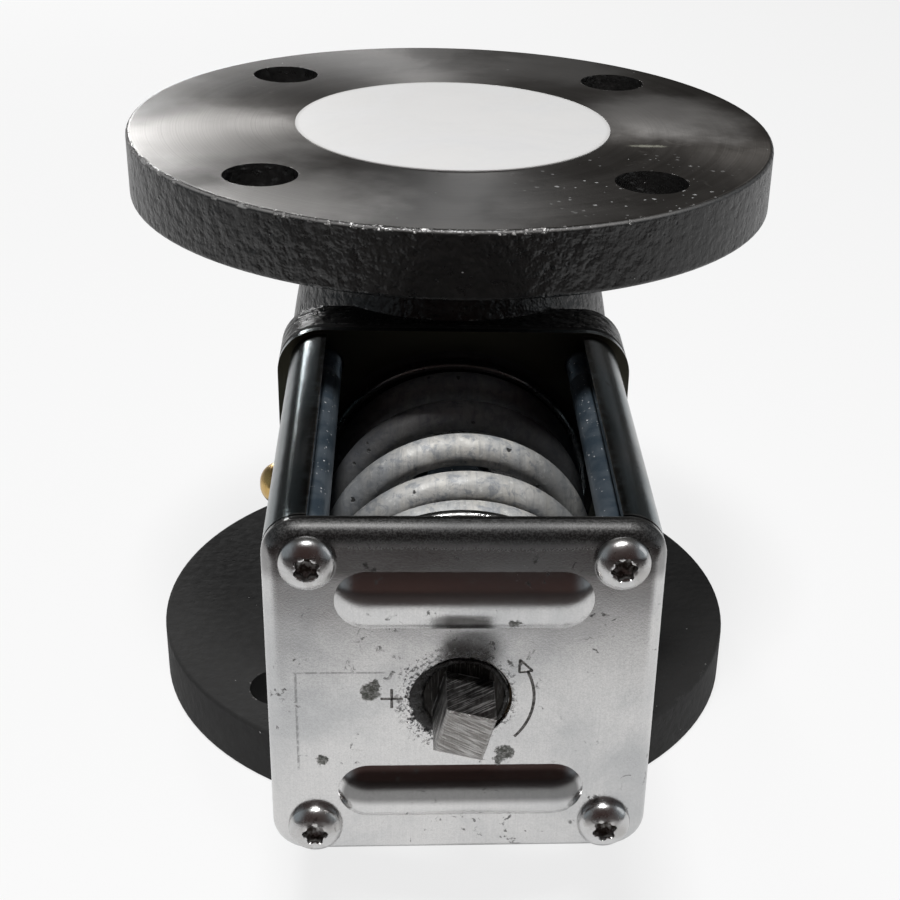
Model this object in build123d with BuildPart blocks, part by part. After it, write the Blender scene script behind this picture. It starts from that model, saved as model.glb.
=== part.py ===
from build123d import *
import os

# Water regulating valve with flanged pipe ends.
# Millimetres. The origin is the centre of the bottom flange's face and +Z runs up the pipe axis.
# The valve stem lies along Y: the spring cage faces -Y and the bellows faces +Y.

# Pipe flanges and ports
FACE_TO_FACE = 172.5
FLANGE_RADIUS = 88.9
FLANGE_THICK = 17.5
FLANGE_EDGE = 1.2
BOLT_CIRCLE_RADIUS = 69.85
BOLT_HOLE_RADIUS = 9.525
BOLT_COUNT = 4
PORT_RADIUS = 31.75
PORT_DEPTH = 25.0

# Cast body
NECK_RADIUS = 40.0
NECK_HEIGHT = 32.0
NECK_FILLET = 8.0
GLOBE_RADIUS = 48.0
THROAT_RADIUS = 42.0
PAD_WIDTH = 94.0
PAD_HEIGHT = 90.0
PAD_CORNER = 12.0
PAD_THICK = 13.0
PAD_FACE = 45.8
REAR_PAD_RADIUS = 47.0
REAR_PAD_THICK = 11.0
REAR_FACE = 58.0
CHAMBER_RADIUS = 33.0
SEAT_WEB = 14.0
WEB_DROP = 25.0
PASSAGE_RADIUS = 30.0
ARROW_LENGTH = 34.0
ARROW_WIDTH = 16.0
ARROW_SHAFT = 6.0
ARROW_PROUD = 1.2

# Seat and disc
SEAT_BORE_RADIUS = 24.0
SEAT_WALL = 3.0
SEAT_FLANGE_RADIUS = 30.0
SEAT_FLANGE_THICK = 2.5
SEAT_LIP_WIDTH = 1.6
SEAT_LIP_HEIGHT = 1.0
SEAL_GAP = 0.2
DISC_RADIUS = 28.5
DISC_THICK = 5.0
HOLDER_RADIUS = 30.5
HOLDER_BACK = 4.0
HOLDER_HUB_RADIUS = 11.0
HOLDER_HUB_LENGTH = 6.0
RETAINER_RADIUS = 16.0
RETAINER_THICK = 2.0
NUT_ACROSS_FLATS = 19.0
NUT_THICK = 7.0

# Stem
STEM_RADIUS = 6.35
RUNNING_GAP = 0.05
SLIP_FIT = 0.05
STEM_NOSE = 2.0

# Front diaphragm and lower spring plate
DIAPHRAGM_THICK = 2.0
WASHER_RADIUS = 22.0
WASHER_THICK = 3.0
SOFT_GAP = 0.3
LOWER_PLATE_RADIUS = 36.8
LOWER_PLATE_THICK = 2.0
LOWER_LIP_HEIGHT = 2.5
LOWER_LIP_WALL = 1.3
LOWER_LIP_EDGE = 0.6

# Spring cage
CAGE_SHEET = 2.2
CAGE_WIDTH = 87.2
CAGE_HEIGHT = 88.0
CAGE_CORNER = 8.5
CAGE_DEPTH = 105.8
CAGE_EDGE_BEND = 3.4
CAGE_RETURN = 4.6
LIP_EDGE = 33.8
RELIEF_GAP = 0.9
RELIEF_START = 30.0
MOUTH_RADIUS = 39.5
STEM_HOLE_RADIUS = 11.0
RIB_LENGTH = 56.4
RIB_WIDTH = 14.4
RIB_OFFSET = 25.7
RIB_PROUD = 2.4

# Long screws that clamp the cage
SCREW_INSET_X = 10.0
SCREW_INSET_Z = 8.6
SCREW_RADIUS = 3.75
SCREW_CLEARANCE = 0.45
SCREW_HEAD_RADIUS = 6.25
SCREW_HEAD_HEIGHT = 4.0
SCREW_HEAD_DOME = 3.6
SCREW_GRIP = 10.0
DRILL_POINT = 1.5

# Range spring
WIRE_RADIUS = 4.0
COIL_RADIUS = 31.0
SPRING_LENGTH = 79.5
SPRING_TURNS = 4.2
SPRING_TRIM = 1.6

# Upper spring plate
UPPER_PLATE_RADIUS = 35.4
UPPER_PLATE_THICK = 3.0
UPPER_PLATE_EDGE = 1.2
EAR_HALF_HEIGHT = 11.0
EAR_CLEARANCE = 0.4
BOSS_RADIUS = 21.0
BOSS_HEIGHT = 4.0
PLATE_NUT_RADIUS = 11.0
PLATE_NUT_COLLAR_RADIUS = 13.0
PLATE_NUT_COLLAR_THICK = 2.0
PLATE_NUT_LENGTH = 11.0

# Adjusting screw
SQUARE_SIDE = 11.1
SQUARE_TWIST = -15.0
SQUARE_PROUD = 14.4
SQUARE_CHAMFER = 0.6
COLLAR_GAP = 0.6
COLLAR_SETBACK = 0.8
THRUST_RADIUS = 15.0
THRUST_THICK = 3.6
THRUST_GAP = 0.1
THRUST_WASHER_THICK = 1.2
THREAD_RADIUS = 6.35
THREAD_LENGTH = 52.0

# Bellows end
GUIDE_PLATE_THICK = 12.0
GUIDE_POCKET_RADIUS = 25.0
GUIDE_POCKET_DEPTH = 5.0
BUSH_RADIUS = 9.5
BUSH_LENGTH = 15.0
SEAL_LENGTH = 2.4
REAR_CLAMP_RADIUS = 20.0
REAR_CLAMP_THICK = 2.0
CUP_FLANGE_RADIUS = 46.0
CUP_RADIUS = 33.6
CUP_SHEET = 1.6
CUP_LENGTH = 43.0
CUP_END_BEND = 5.0
CUP_FOOT_BEND = 2.0
GASKET_THICK = 1.0
BELLOWS_RING_THICK = 1.0
BELLOWS_OUTER = 28.0
BELLOWS_INNER = 21.5
BELLOWS_WALL = 0.8
BELLOWS_LENGTH = 30.0
BELLOWS_FOLDS = 6
BELLOWS_CAP_THICK = 2.5
CUP_SCREW_COUNT = 6
CUP_SCREW_CIRCLE = 40.6
CUP_SCREW_RADIUS = 2.5
CUP_SCREW_FLATS = 8.0
CUP_SCREW_HEAD = 3.5
CUP_SCREW_GRIP = 8.0

# Flare connector
CONNECTOR_FLATS = 14.3
CONNECTOR_HEX = 7.0
CONNECTOR_RADIUS = 5.56
CONNECTOR_LENGTH = 13.0
CONNECTOR_CONE = 3.0
CONNECTOR_BORE = 2.4
CONNECTOR_SPIGOT_RADIUS = 4.9
CONNECTOR_SPIGOT_LENGTH = 2.6

# Vent plug in the side of the front pad
PLUG_SET_BACK = 6.3
PLUG_DROP = 6.0
PLUG_SHANK_RADIUS = 3.2
PLUG_SHANK_LENGTH = 9.0
PLUG_HEAD_RADIUS = 6.0
PLUG_HEAD_HEIGHT = 6.2
PLUG_ROUNDNESS = 0.9
PLUG_WASHER_RADIUS = 7.0
PLUG_WASHER_THICK = 0.8
PLUG_PASSAGE_RADIUS = 1.6

# Label over the top port
LABEL_RADIUS = 43.6
LABEL_THICK = 0.4

TINY = 0.001
AXIS_Z = FACE_TO_FACE / 2
STEM_AXIS = Axis((0, 0, AXIS_Z), (0, 1, 0))
HALF_WEB = SEAT_WEB / 2
SCREW_X = CAGE_WIDTH / 2 - SCREW_INSET_X
SCREW_Z = CAGE_HEIGHT / 2 - SCREW_INSET_Z

CAGE_BACK_Y = -(PAD_FACE + DIAPHRAGM_THICK)
CAGE_FRONT_Y = CAGE_BACK_Y - CAGE_DEPTH
CAGE_INSIDE_Y = CAGE_FRONT_Y + CAGE_SHEET
LOWER_PLATE_Y = CAGE_BACK_Y - SOFT_GAP
SPRING_BACK_Y = LOWER_PLATE_Y - LOWER_PLATE_THICK
SPRING_FRONT_Y = SPRING_BACK_Y - SPRING_LENGTH
SEAT_FACE_Y = -HALF_WEB - SEAT_FLANGE_THICK - SEAT_LIP_HEIGHT
DISC_BACK_Y = SEAT_FACE_Y - SEAL_GAP
DISC_FRONT_Y = DISC_BACK_Y - DISC_THICK
GUIDE_PLATE_Y = REAR_FACE + DIAPHRAGM_THICK
BELLOWS_RING_Y = GUIDE_PLATE_Y + GUIDE_PLATE_THICK
BELLOWS_Y = BELLOWS_RING_Y + BELLOWS_RING_THICK
CUP_Y = BELLOWS_Y + GASKET_THICK
BELLOWS_END_Y = BELLOWS_Y + BELLOWS_LENGTH
CUP_END_Y = CUP_Y + CUP_LENGTH
PLUG_PLANE = Plane(
    origin=(-PAD_WIDTH / 2, -PAD_FACE + PLUG_SET_BACK, AXIS_Z - PLUG_DROP),
    x_dir=(0, -1, 0),
    z_dir=(-1, 0, 0),
)


def front_plane(y):
    """Plane across the stem at height y, seen from the cage end: extrusions run towards -Y."""
    return Plane(origin=(0, y, AXIS_Z), x_dir=(1, 0, 0), z_dir=(0, -1, 0))


def stem_section():
    """Plane through the stem axis: its x is the row's Y and its y is the height above the stem."""
    return Plane(origin=(0, 0, AXIS_Z), x_dir=(0, 1, 0), z_dir=(1, 0, 0))


def circles_of(piece, radius, *heights):
    """The piece's circular edges of one radius, at any height or only at the heights given."""
    found = piece.edges().filter_by(GeomType.CIRCLE).filter_by(lambda e: abs(e.radius - radius) < TINY)
    if not heights:
        return found
    return found.filter_by(lambda e: min(abs(e.arc_center.Z - z) for z in heights) < TINY)


os.makedirs("parts", exist_ok=True)


# Valve body: the cast globe, its two pipe flanges and the pads for the cage and the bellows

with BuildPart() as inlet_passage:
    with BuildSketch(Plane.XY):
        Circle(PASSAGE_RADIUS)
    extrude(amount=AXIS_Z)
    with BuildSketch(Plane.YZ):
        with BuildLine():
            Polyline(
                (-PORT_RADIUS, 0),
                (-PORT_RADIUS, AXIS_Z - CHAMBER_RADIUS - WEB_DROP),
                (HALF_WEB, AXIS_Z - CHAMBER_RADIUS - WEB_DROP),
                (HALF_WEB, AXIS_Z),
                (PORT_RADIUS, AXIS_Z),
                (PORT_RADIUS, 0),
                close=True,
            )
        make_face()
    extrude(amount=PORT_RADIUS, both=True, mode=Mode.INTERSECT)
    with BuildSketch(Plane.XY):
        Circle(PORT_RADIUS)
    extrude(amount=PORT_DEPTH)

outlet_passage = inlet_passage.part.rotate(Axis((0, 0, AXIS_Z), (1, 0, 0)), 180)

with BuildPart() as valve_body:
    with BuildSketch(Plane.XZ):
        with BuildLine():
            foot = Line((0, 0), (NECK_RADIUS, 0))
            lower_neck = Line(foot @ 1, (NECK_RADIUS, NECK_HEIGHT))
            globe = ThreePointArc(
                lower_neck @ 1,
                (GLOBE_RADIUS, AXIS_Z),
                (NECK_RADIUS, FACE_TO_FACE - NECK_HEIGHT),
            )
            upper_neck = Line(globe @ 1, (NECK_RADIUS, FACE_TO_FACE))
            crown = Line(upper_neck @ 1, (0, FACE_TO_FACE))
            Line(crown @ 1, foot @ 0)
        make_face()
    revolve(axis=Axis.Z)
    for flange_z in (0, FACE_TO_FACE - FLANGE_THICK):
        with BuildSketch(Plane.XY.offset(flange_z)):
            Circle(FLANGE_RADIUS)
        extrude(amount=FLANGE_THICK)
    fillet(circles_of(valve_body, NECK_RADIUS, FLANGE_THICK, FACE_TO_FACE - FLANGE_THICK), NECK_FILLET)
    fillet(circles_of(valve_body, FLANGE_RADIUS), FLANGE_EDGE)

    # throats and pads across the stem
    with BuildSketch(front_plane(0)):
        Circle(THROAT_RADIUS)
    extrude(amount=PAD_FACE - PAD_THICK / 2)
    with BuildSketch(front_plane(-PAD_FACE + PAD_THICK)):
        RectangleRounded(PAD_WIDTH, PAD_HEIGHT, PAD_CORNER)
    extrude(amount=PAD_THICK)
    with BuildSketch(front_plane(REAR_FACE - REAR_PAD_THICK / 2)):
        Circle(THROAT_RADIUS)
    extrude(amount=REAR_FACE - REAR_PAD_THICK / 2)
    with BuildSketch(front_plane(REAR_FACE)):
        Circle(REAR_PAD_RADIUS)
    extrude(amount=REAR_PAD_THICK)

    # the front pad's face is milled flat across the globe
    with BuildSketch(front_plane(-PAD_FACE)):
        Rectangle(PAD_WIDTH, PAD_HEIGHT)
    extrude(amount=GLOBE_RADIUS, mode=Mode.SUBTRACT)

    # cast flow arrow on the right flank
    with BuildSketch(Plane.YZ.offset(GLOBE_RADIUS + ARROW_PROUD)):
        with Locations((0, AXIS_Z - ARROW_LENGTH / 2)):
            Rectangle(ARROW_SHAFT, ARROW_LENGTH / 2, align=(Align.CENTER, Align.MIN))
        with BuildLine():
            Polyline(
                (-ARROW_WIDTH / 2, AXIS_Z),
                (ARROW_WIDTH / 2, AXIS_Z),
                (0, AXIS_Z + ARROW_LENGTH / 2),
                close=True,
            )
        make_face()
    extrude(amount=-ARROW_PROUD - SEAT_WALL)

    # chambers before and behind the seat, and the passages that join them to the ports
    with BuildSketch(front_plane(-HALF_WEB)):
        Circle(CHAMBER_RADIUS)
    extrude(amount=PAD_FACE - HALF_WEB, mode=Mode.SUBTRACT)
    with BuildSketch(front_plane(REAR_FACE)):
        Circle(CHAMBER_RADIUS)
    extrude(amount=REAR_FACE - HALF_WEB, mode=Mode.SUBTRACT)
    with BuildSketch(front_plane(HALF_WEB)):
        Circle(SEAT_BORE_RADIUS + SEAT_WALL)
    extrude(amount=SEAT_WEB, mode=Mode.SUBTRACT)
    add(inlet_passage.part, mode=Mode.SUBTRACT)
    add(outlet_passage, mode=Mode.SUBTRACT)

    # bolt holes in each flange
    for flange_z in (0, FACE_TO_FACE - FLANGE_THICK):
        with BuildSketch(Plane.XY.offset(flange_z)):
            with PolarLocations(BOLT_CIRCLE_RADIUS, BOLT_COUNT, start_angle=180 / BOLT_COUNT):
                Circle(BOLT_HOLE_RADIUS)
        extrude(amount=FLANGE_THICK, mode=Mode.SUBTRACT)

    # tapped holes for the cage screws and the cup screws
    with BuildSketch(front_plane(-PAD_FACE)):
        with GridLocations(2 * SCREW_X, 2 * SCREW_Z, 2, 2):
            Circle(SCREW_RADIUS + SLIP_FIT)
    extrude(amount=-SCREW_GRIP - DRILL_POINT, mode=Mode.SUBTRACT)
    with BuildSketch(front_plane(REAR_FACE)):
        with PolarLocations(CUP_SCREW_CIRCLE, CUP_SCREW_COUNT):
            Circle(CUP_SCREW_RADIUS + SLIP_FIT)
    extrude(amount=CUP_SCREW_GRIP + DRILL_POINT, mode=Mode.SUBTRACT)

    # vent hole through the left side of the front pad
    with BuildSketch(PLUG_PLANE):
        Circle(PLUG_SHANK_RADIUS + SLIP_FIT)
    extrude(amount=-PLUG_SHANK_LENGTH - DRILL_POINT, mode=Mode.SUBTRACT)
    with BuildSketch(PLUG_PLANE):
        Circle(PLUG_PASSAGE_RADIUS)
    extrude(amount=-PAD_WIDTH / 2 + CHAMBER_RADIUS / 2, mode=Mode.SUBTRACT)
valve_body.part.label = "valve_body"
export_step(valve_body.part, "parts/valve_body.step")


# Seat ring, screwed into the web, with a raised lip for the disc

with BuildPart() as seat_ring:
    with BuildSketch(front_plane(HALF_WEB)):
        Circle(SEAT_BORE_RADIUS + SEAT_WALL - SLIP_FIT)
    extrude(amount=SEAT_WEB)
    with BuildSketch(front_plane(-HALF_WEB)):
        Circle(SEAT_FLANGE_RADIUS)
    extrude(amount=SEAT_FLANGE_THICK)
    with BuildSketch(front_plane(-HALF_WEB - SEAT_FLANGE_THICK)):
        Circle(SEAT_BORE_RADIUS + SEAT_LIP_WIDTH)
    extrude(amount=SEAT_LIP_HEIGHT)
    with BuildSketch(front_plane(HALF_WEB)):
        Circle(SEAT_BORE_RADIUS)
    extrude(amount=HALF_WEB - SEAT_FACE_Y, mode=Mode.SUBTRACT)
seat_ring.part.label = "seat_ring"
export_step(seat_ring.part, "parts/seat_ring.step")


# Disc assembly on the stem: rubber disc in its holder, retaining washer and nut

with BuildPart() as valve_disc:
    with BuildSketch(front_plane(DISC_BACK_Y)):
        Circle(DISC_RADIUS)
        Circle(HOLDER_HUB_RADIUS + SLIP_FIT, mode=Mode.SUBTRACT)
    extrude(amount=DISC_THICK)
valve_disc.part.label = "valve_disc"
export_step(valve_disc.part, "parts/valve_disc.step")

with BuildPart() as disc_holder:
    with BuildSketch(front_plane(DISC_BACK_Y - DISC_THICK / 2)):
        Circle(HOLDER_RADIUS)
        Circle(DISC_RADIUS + SLIP_FIT, mode=Mode.SUBTRACT)
    extrude(amount=DISC_THICK / 2)
    with BuildSketch(front_plane(DISC_FRONT_Y)):
        Circle(HOLDER_RADIUS)
    extrude(amount=HOLDER_BACK)
    with BuildSketch(front_plane(DISC_BACK_Y)):
        Circle(HOLDER_HUB_RADIUS)
    extrude(amount=DISC_THICK + HOLDER_BACK + HOLDER_HUB_LENGTH)
    with BuildSketch(front_plane(DISC_BACK_Y)):
        Circle(STEM_RADIUS + SLIP_FIT)
    extrude(amount=DISC_THICK + HOLDER_BACK + HOLDER_HUB_LENGTH, mode=Mode.SUBTRACT)
disc_holder.part.label = "disc_holder"
export_step(disc_holder.part, "parts/disc_holder.step")

with BuildPart() as disc_retainer:
    with BuildSketch(front_plane(DISC_BACK_Y + RETAINER_THICK)):
        Circle(RETAINER_RADIUS)
        Circle(STEM_RADIUS + SLIP_FIT, mode=Mode.SUBTRACT)
    extrude(amount=RETAINER_THICK)
disc_retainer.part.label = "disc_retainer"
export_step(disc_retainer.part, "parts/disc_retainer.step")

with BuildPart() as disc_nut:
    with BuildSketch(front_plane(DISC_BACK_Y + RETAINER_THICK + NUT_THICK)):
        RegularPolygon(NUT_ACROSS_FLATS / 2, 6, major_radius=False)
        Circle(STEM_RADIUS + SLIP_FIT, mode=Mode.SUBTRACT)
    extrude(amount=NUT_THICK)
disc_nut.part.label = "disc_nut"
export_step(disc_nut.part, "parts/disc_nut.step")

with BuildPart() as valve_stem:
    with BuildSketch(front_plane(BELLOWS_END_Y)):
        Circle(STEM_RADIUS)
    extrude(amount=BELLOWS_END_Y - SPRING_BACK_Y + NUT_THICK + STEM_NOSE)
    chamfer(valve_stem.edges().filter_by(GeomType.CIRCLE), STEM_NOSE / 3)
valve_stem.part.label = "valve_stem"
export_step(valve_stem.part, "parts/valve_stem.step")


# Front diaphragm, clamped under the cage, and what grips it on the stem

with BuildPart() as front_diaphragm:
    with BuildSketch(front_plane(-PAD_FACE)):
        RectangleRounded(PAD_WIDTH, PAD_HEIGHT, PAD_CORNER)
        Circle(STEM_RADIUS + SOFT_GAP, mode=Mode.SUBTRACT)
        with GridLocations(2 * SCREW_X, 2 * SCREW_Z, 2, 2):
            Circle(SCREW_RADIUS + SCREW_CLEARANCE, mode=Mode.SUBTRACT)
    extrude(amount=DIAPHRAGM_THICK)
front_diaphragm.part.label = "front_diaphragm"
export_step(front_diaphragm.part, "parts/front_diaphragm.step")

with BuildPart() as front_diaphragm_washer:
    with BuildSketch(front_plane(-PAD_FACE + SOFT_GAP + WASHER_THICK)):
        Circle(WASHER_RADIUS)
        Circle(STEM_RADIUS + SLIP_FIT, mode=Mode.SUBTRACT)
    extrude(amount=WASHER_THICK)
    fillet(circles_of(front_diaphragm_washer, WASHER_RADIUS), WASHER_THICK / 4)
front_diaphragm_washer.part.label = "front_diaphragm_washer"
export_step(front_diaphragm_washer.part, "parts/front_diaphragm_washer.step")

with BuildPart() as lower_spring_plate:
    with BuildSketch(front_plane(LOWER_PLATE_Y)):
        Circle(LOWER_PLATE_RADIUS)
    extrude(amount=LOWER_PLATE_THICK + LOWER_LIP_HEIGHT)
    fillet(circles_of(lower_spring_plate, LOWER_PLATE_RADIUS), LOWER_LIP_EDGE)
    with BuildSketch(front_plane(SPRING_BACK_Y)):
        Circle(LOWER_PLATE_RADIUS - LOWER_LIP_WALL)
    extrude(amount=LOWER_LIP_HEIGHT, mode=Mode.SUBTRACT)
    with BuildSketch(front_plane(LOWER_PLATE_Y)):
        Circle(STEM_RADIUS + SLIP_FIT)
    extrude(amount=LOWER_PLATE_THICK, mode=Mode.SUBTRACT)
lower_spring_plate.part.label = "lower_spring_plate"
export_step(lower_spring_plate.part, "parts/lower_spring_plate.step")

with BuildPart() as lower_plate_nut:
    with BuildSketch(front_plane(SPRING_BACK_Y)):
        RegularPolygon(NUT_ACROSS_FLATS / 2, 6, major_radius=False)
        Circle(STEM_RADIUS + SLIP_FIT, mode=Mode.SUBTRACT)
    extrude(amount=NUT_THICK)
lower_plate_nut.part.label = "lower_plate_nut"
export_step(lower_plate_nut.part, "parts/lower_plate_nut.step")


# Spring cage: one drawn steel box with open top and bottom, stamped ribs and a clamping flange

RIB_RUN = RIB_LENGTH - RIB_WIDTH
RIB_CURVE = (RIB_WIDTH**2 / 4 + RIB_PROUD**2) / (2 * RIB_PROUD)
RIB_CENTRE_Y = CAGE_FRONT_Y - RIB_PROUD + RIB_CURVE


def round_bars(radius):
    """Two level bars with ball ends, on the lines that the ribs' crests curve about."""
    with BuildPart() as bars:
        for height in (AXIS_Z - RIB_OFFSET, AXIS_Z + RIB_OFFSET):
            with Locations((0, RIB_CENTRE_Y, height)):
                Cylinder(radius, RIB_RUN, rotation=(0, 90, 0))
            with Locations((-RIB_RUN / 2, RIB_CENTRE_Y, height), (RIB_RUN / 2, RIB_CENTRE_Y, height)):
                Sphere(radius)
    return bars.part


with BuildPart() as rib_skin:
    add(round_bars(RIB_CURVE))
    with BuildSketch(front_plane(CAGE_INSIDE_Y)):
        Rectangle(CAGE_WIDTH, CAGE_HEIGHT)
    extrude(amount=CAGE_SHEET + 2 * RIB_PROUD, mode=Mode.INTERSECT)

with BuildPart() as cage:
    with BuildSketch(front_plane(CAGE_BACK_Y)):
        RectangleRounded(CAGE_WIDTH, CAGE_HEIGHT, CAGE_CORNER)
    extrude(amount=CAGE_DEPTH)
    fillet(cage.faces().sort_by(Axis.Y)[0].edges(), CAGE_EDGE_BEND)
    offset(amount=-CAGE_SHEET, openings=cage.faces().sort_by(Axis.Y)[-1])

    # windows between the channel lips, and the relief cuts behind the drawn edge
    with BuildSketch(front_plane(CAGE_BACK_Y)):
        Rectangle(2 * LIP_EDGE, CAGE_HEIGHT + PAD_HEIGHT)
    extrude(amount=CAGE_DEPTH - CAGE_RETURN, mode=Mode.SUBTRACT)
    with BuildSketch(front_plane(CAGE_FRONT_Y + CAGE_RETURN + RELIEF_GAP)):
        Rectangle(CAGE_WIDTH + PAD_WIDTH, CAGE_HEIGHT + PAD_HEIGHT)
        Rectangle(CAGE_WIDTH + PAD_WIDTH, 2 * RELIEF_START, mode=Mode.SUBTRACT)
    extrude(amount=RELIEF_GAP, mode=Mode.SUBTRACT)

    # clamping flange with the spring's mouth
    with BuildSketch(front_plane(CAGE_BACK_Y)):
        RectangleRounded(PAD_WIDTH, PAD_HEIGHT, PAD_CORNER)
        Circle(MOUTH_RADIUS, mode=Mode.SUBTRACT)
    extrude(amount=CAGE_SHEET)

    # stamped ribs: the skin stands out and the hollow follows it
    add(rib_skin.part)
    add(round_bars(RIB_CURVE - CAGE_SHEET), mode=Mode.SUBTRACT)

    # holes for the adjusting screw and the four long screws
    with BuildSketch(front_plane(CAGE_INSIDE_Y)):
        Circle(STEM_HOLE_RADIUS)
        with GridLocations(2 * SCREW_X, 2 * SCREW_Z, 2, 2):
            Circle(SCREW_RADIUS + SCREW_CLEARANCE)
    extrude(amount=CAGE_SHEET, mode=Mode.SUBTRACT)
    with BuildSketch(front_plane(CAGE_BACK_Y)):
        with GridLocations(2 * SCREW_X, 2 * SCREW_Z, 2, 2):
            Circle(SCREW_RADIUS + SCREW_CLEARANCE)
    extrude(amount=CAGE_SHEET, mode=Mode.SUBTRACT)
cage.part.label = "cage"
export_step(cage.part, "parts/cage.step")

with BuildPart() as cage_screws:
    with BuildSketch(front_plane(-PAD_FACE + SCREW_GRIP)):
        with GridLocations(2 * SCREW_X, 2 * SCREW_Z, 2, 2):
            Circle(SCREW_RADIUS)
    extrude(amount=SCREW_GRIP - PAD_FACE - CAGE_FRONT_Y)
    with BuildSketch(front_plane(CAGE_FRONT_Y)):
        with GridLocations(2 * SCREW_X, 2 * SCREW_Z, 2, 2):
            Circle(SCREW_HEAD_RADIUS)
    extrude(amount=SCREW_HEAD_HEIGHT)
    fillet(cage_screws.faces().sort_by(Axis.Y)[:4].edges(), SCREW_HEAD_DOME)
cage_screws.part.label = "cage_screws"
export_step(cage_screws.part, "parts/cage_screws.step")


# Range spring: round wire with ground ends

SPRING_SETBACK = WIRE_RADIUS - SPRING_TRIM
SPRING_RISE = SPRING_LENGTH - 2 * SPRING_SETBACK

with BuildPart() as range_spring:
    with BuildLine() as coil:
        Helix(
            pitch=SPRING_RISE / SPRING_TURNS,
            height=SPRING_RISE,
            radius=COIL_RADIUS,
            center=(0, SPRING_BACK_Y - SPRING_SETBACK, AXIS_Z),
            direction=(0, -1, 0),
        )
    with BuildSketch(Plane(coil.line @ 0, z_dir=coil.line % 0)):
        Circle(WIRE_RADIUS)
    sweep(is_frenet=True)
    with BuildSketch(front_plane(SPRING_BACK_Y)):
        Circle(COIL_RADIUS + 2 * WIRE_RADIUS)
    extrude(amount=SPRING_LENGTH, mode=Mode.INTERSECT)
range_spring.part.label = "range_spring"
export_step(range_spring.part, "parts/range_spring.step")


# Upper spring plate, kept from turning by its two ears, and the brass nut that carries it

EAR_REACH = CAGE_WIDTH / 2 - CAGE_SHEET - EAR_CLEARANCE

with BuildPart() as upper_spring_plate:
    with BuildSketch(front_plane(SPRING_FRONT_Y)):
        Circle(UPPER_PLATE_RADIUS)
        Rectangle(2 * EAR_REACH, 2 * EAR_HALF_HEIGHT)
    extrude(amount=UPPER_PLATE_THICK)
    fillet(circles_of(upper_spring_plate, UPPER_PLATE_RADIUS), UPPER_PLATE_EDGE)
    with BuildSketch(front_plane(SPRING_FRONT_Y + BOSS_HEIGHT)):
        Circle(BOSS_RADIUS)
    extrude(amount=BOSS_HEIGHT)
    with BuildSketch(front_plane(SPRING_FRONT_Y + BOSS_HEIGHT)):
        Circle(PLATE_NUT_RADIUS + SLIP_FIT)
    extrude(amount=BOSS_HEIGHT + UPPER_PLATE_THICK, mode=Mode.SUBTRACT)
upper_spring_plate.part.label = "upper_spring_plate"
export_step(upper_spring_plate.part, "parts/upper_spring_plate.step")

PLATE_FRONT_Y = SPRING_FRONT_Y - UPPER_PLATE_THICK

with BuildPart() as plate_nut:
    with BuildSketch(front_plane(PLATE_FRONT_Y + PLATE_NUT_LENGTH)):
        Circle(PLATE_NUT_RADIUS)
    extrude(amount=PLATE_NUT_LENGTH)
    with BuildSketch(front_plane(PLATE_FRONT_Y)):
        Circle(PLATE_NUT_COLLAR_RADIUS)
    extrude(amount=PLATE_NUT_COLLAR_THICK)
    with BuildSketch(front_plane(PLATE_FRONT_Y + PLATE_NUT_LENGTH)):
        Circle(THREAD_RADIUS + RUNNING_GAP)
    extrude(amount=PLATE_NUT_LENGTH + PLATE_NUT_COLLAR_THICK, mode=Mode.SUBTRACT)
plate_nut.part.label = "plate_nut"
export_step(plate_nut.part, "parts/plate_nut.step")


# Adjusting screw: square end, collar in the cage, thrust shoulder and thread

THRUST_Y = CAGE_INSIDE_Y + THRUST_WASHER_THICK + THRUST_GAP
COLLAR_FRONT_Y = CAGE_FRONT_Y + COLLAR_SETBACK

with BuildPart() as adjusting_screw:
    with BuildSketch(front_plane(THRUST_Y + THRUST_THICK + THREAD_LENGTH)):
        Circle(THREAD_RADIUS)
    extrude(amount=THREAD_LENGTH)
    chamfer(adjusting_screw.faces().sort_by(Axis.Y)[-1].edges(), THRUST_WASHER_THICK)
    with BuildSketch(front_plane(THRUST_Y + THRUST_THICK)):
        Circle(THRUST_RADIUS)
    extrude(amount=THRUST_THICK)
    with BuildSketch(front_plane(THRUST_Y)):
        Circle(STEM_HOLE_RADIUS - COLLAR_GAP)
    extrude(amount=THRUST_Y - COLLAR_FRONT_Y)
    with BuildSketch(front_plane(COLLAR_FRONT_Y)):
        Rectangle(SQUARE_SIDE, SQUARE_SIDE, rotation=SQUARE_TWIST)
    extrude(amount=SQUARE_PROUD + COLLAR_SETBACK)
    chamfer(adjusting_screw.faces().sort_by(Axis.Y)[0].edges(), SQUARE_CHAMFER)
adjusting_screw.part.label = "adjusting_screw"
export_step(adjusting_screw.part, "parts/adjusting_screw.step")

with BuildPart() as thrust_washer:
    with BuildSketch(front_plane(CAGE_INSIDE_Y + THRUST_WASHER_THICK)):
        Circle(THRUST_RADIUS)
        Circle(STEM_HOLE_RADIUS - COLLAR_GAP + RUNNING_GAP, mode=Mode.SUBTRACT)
    extrude(amount=THRUST_WASHER_THICK)
thrust_washer.part.label = "thrust_washer"
export_step(thrust_washer.part, "parts/thrust_washer.step")


# Rear diaphragm and the washers that grip it on the stem

with BuildPart() as rear_diaphragm:
    with BuildSketch(front_plane(REAR_FACE + DIAPHRAGM_THICK)):
        Circle(CUP_FLANGE_RADIUS)
        Circle(STEM_RADIUS + SOFT_GAP, mode=Mode.SUBTRACT)
        with PolarLocations(CUP_SCREW_CIRCLE, CUP_SCREW_COUNT):
            Circle(CUP_SCREW_RADIUS + SCREW_CLEARANCE, mode=Mode.SUBTRACT)
    extrude(amount=DIAPHRAGM_THICK)
rear_diaphragm.part.label = "rear_diaphragm"
export_step(rear_diaphragm.part, "parts/rear_diaphragm.step")

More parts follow.
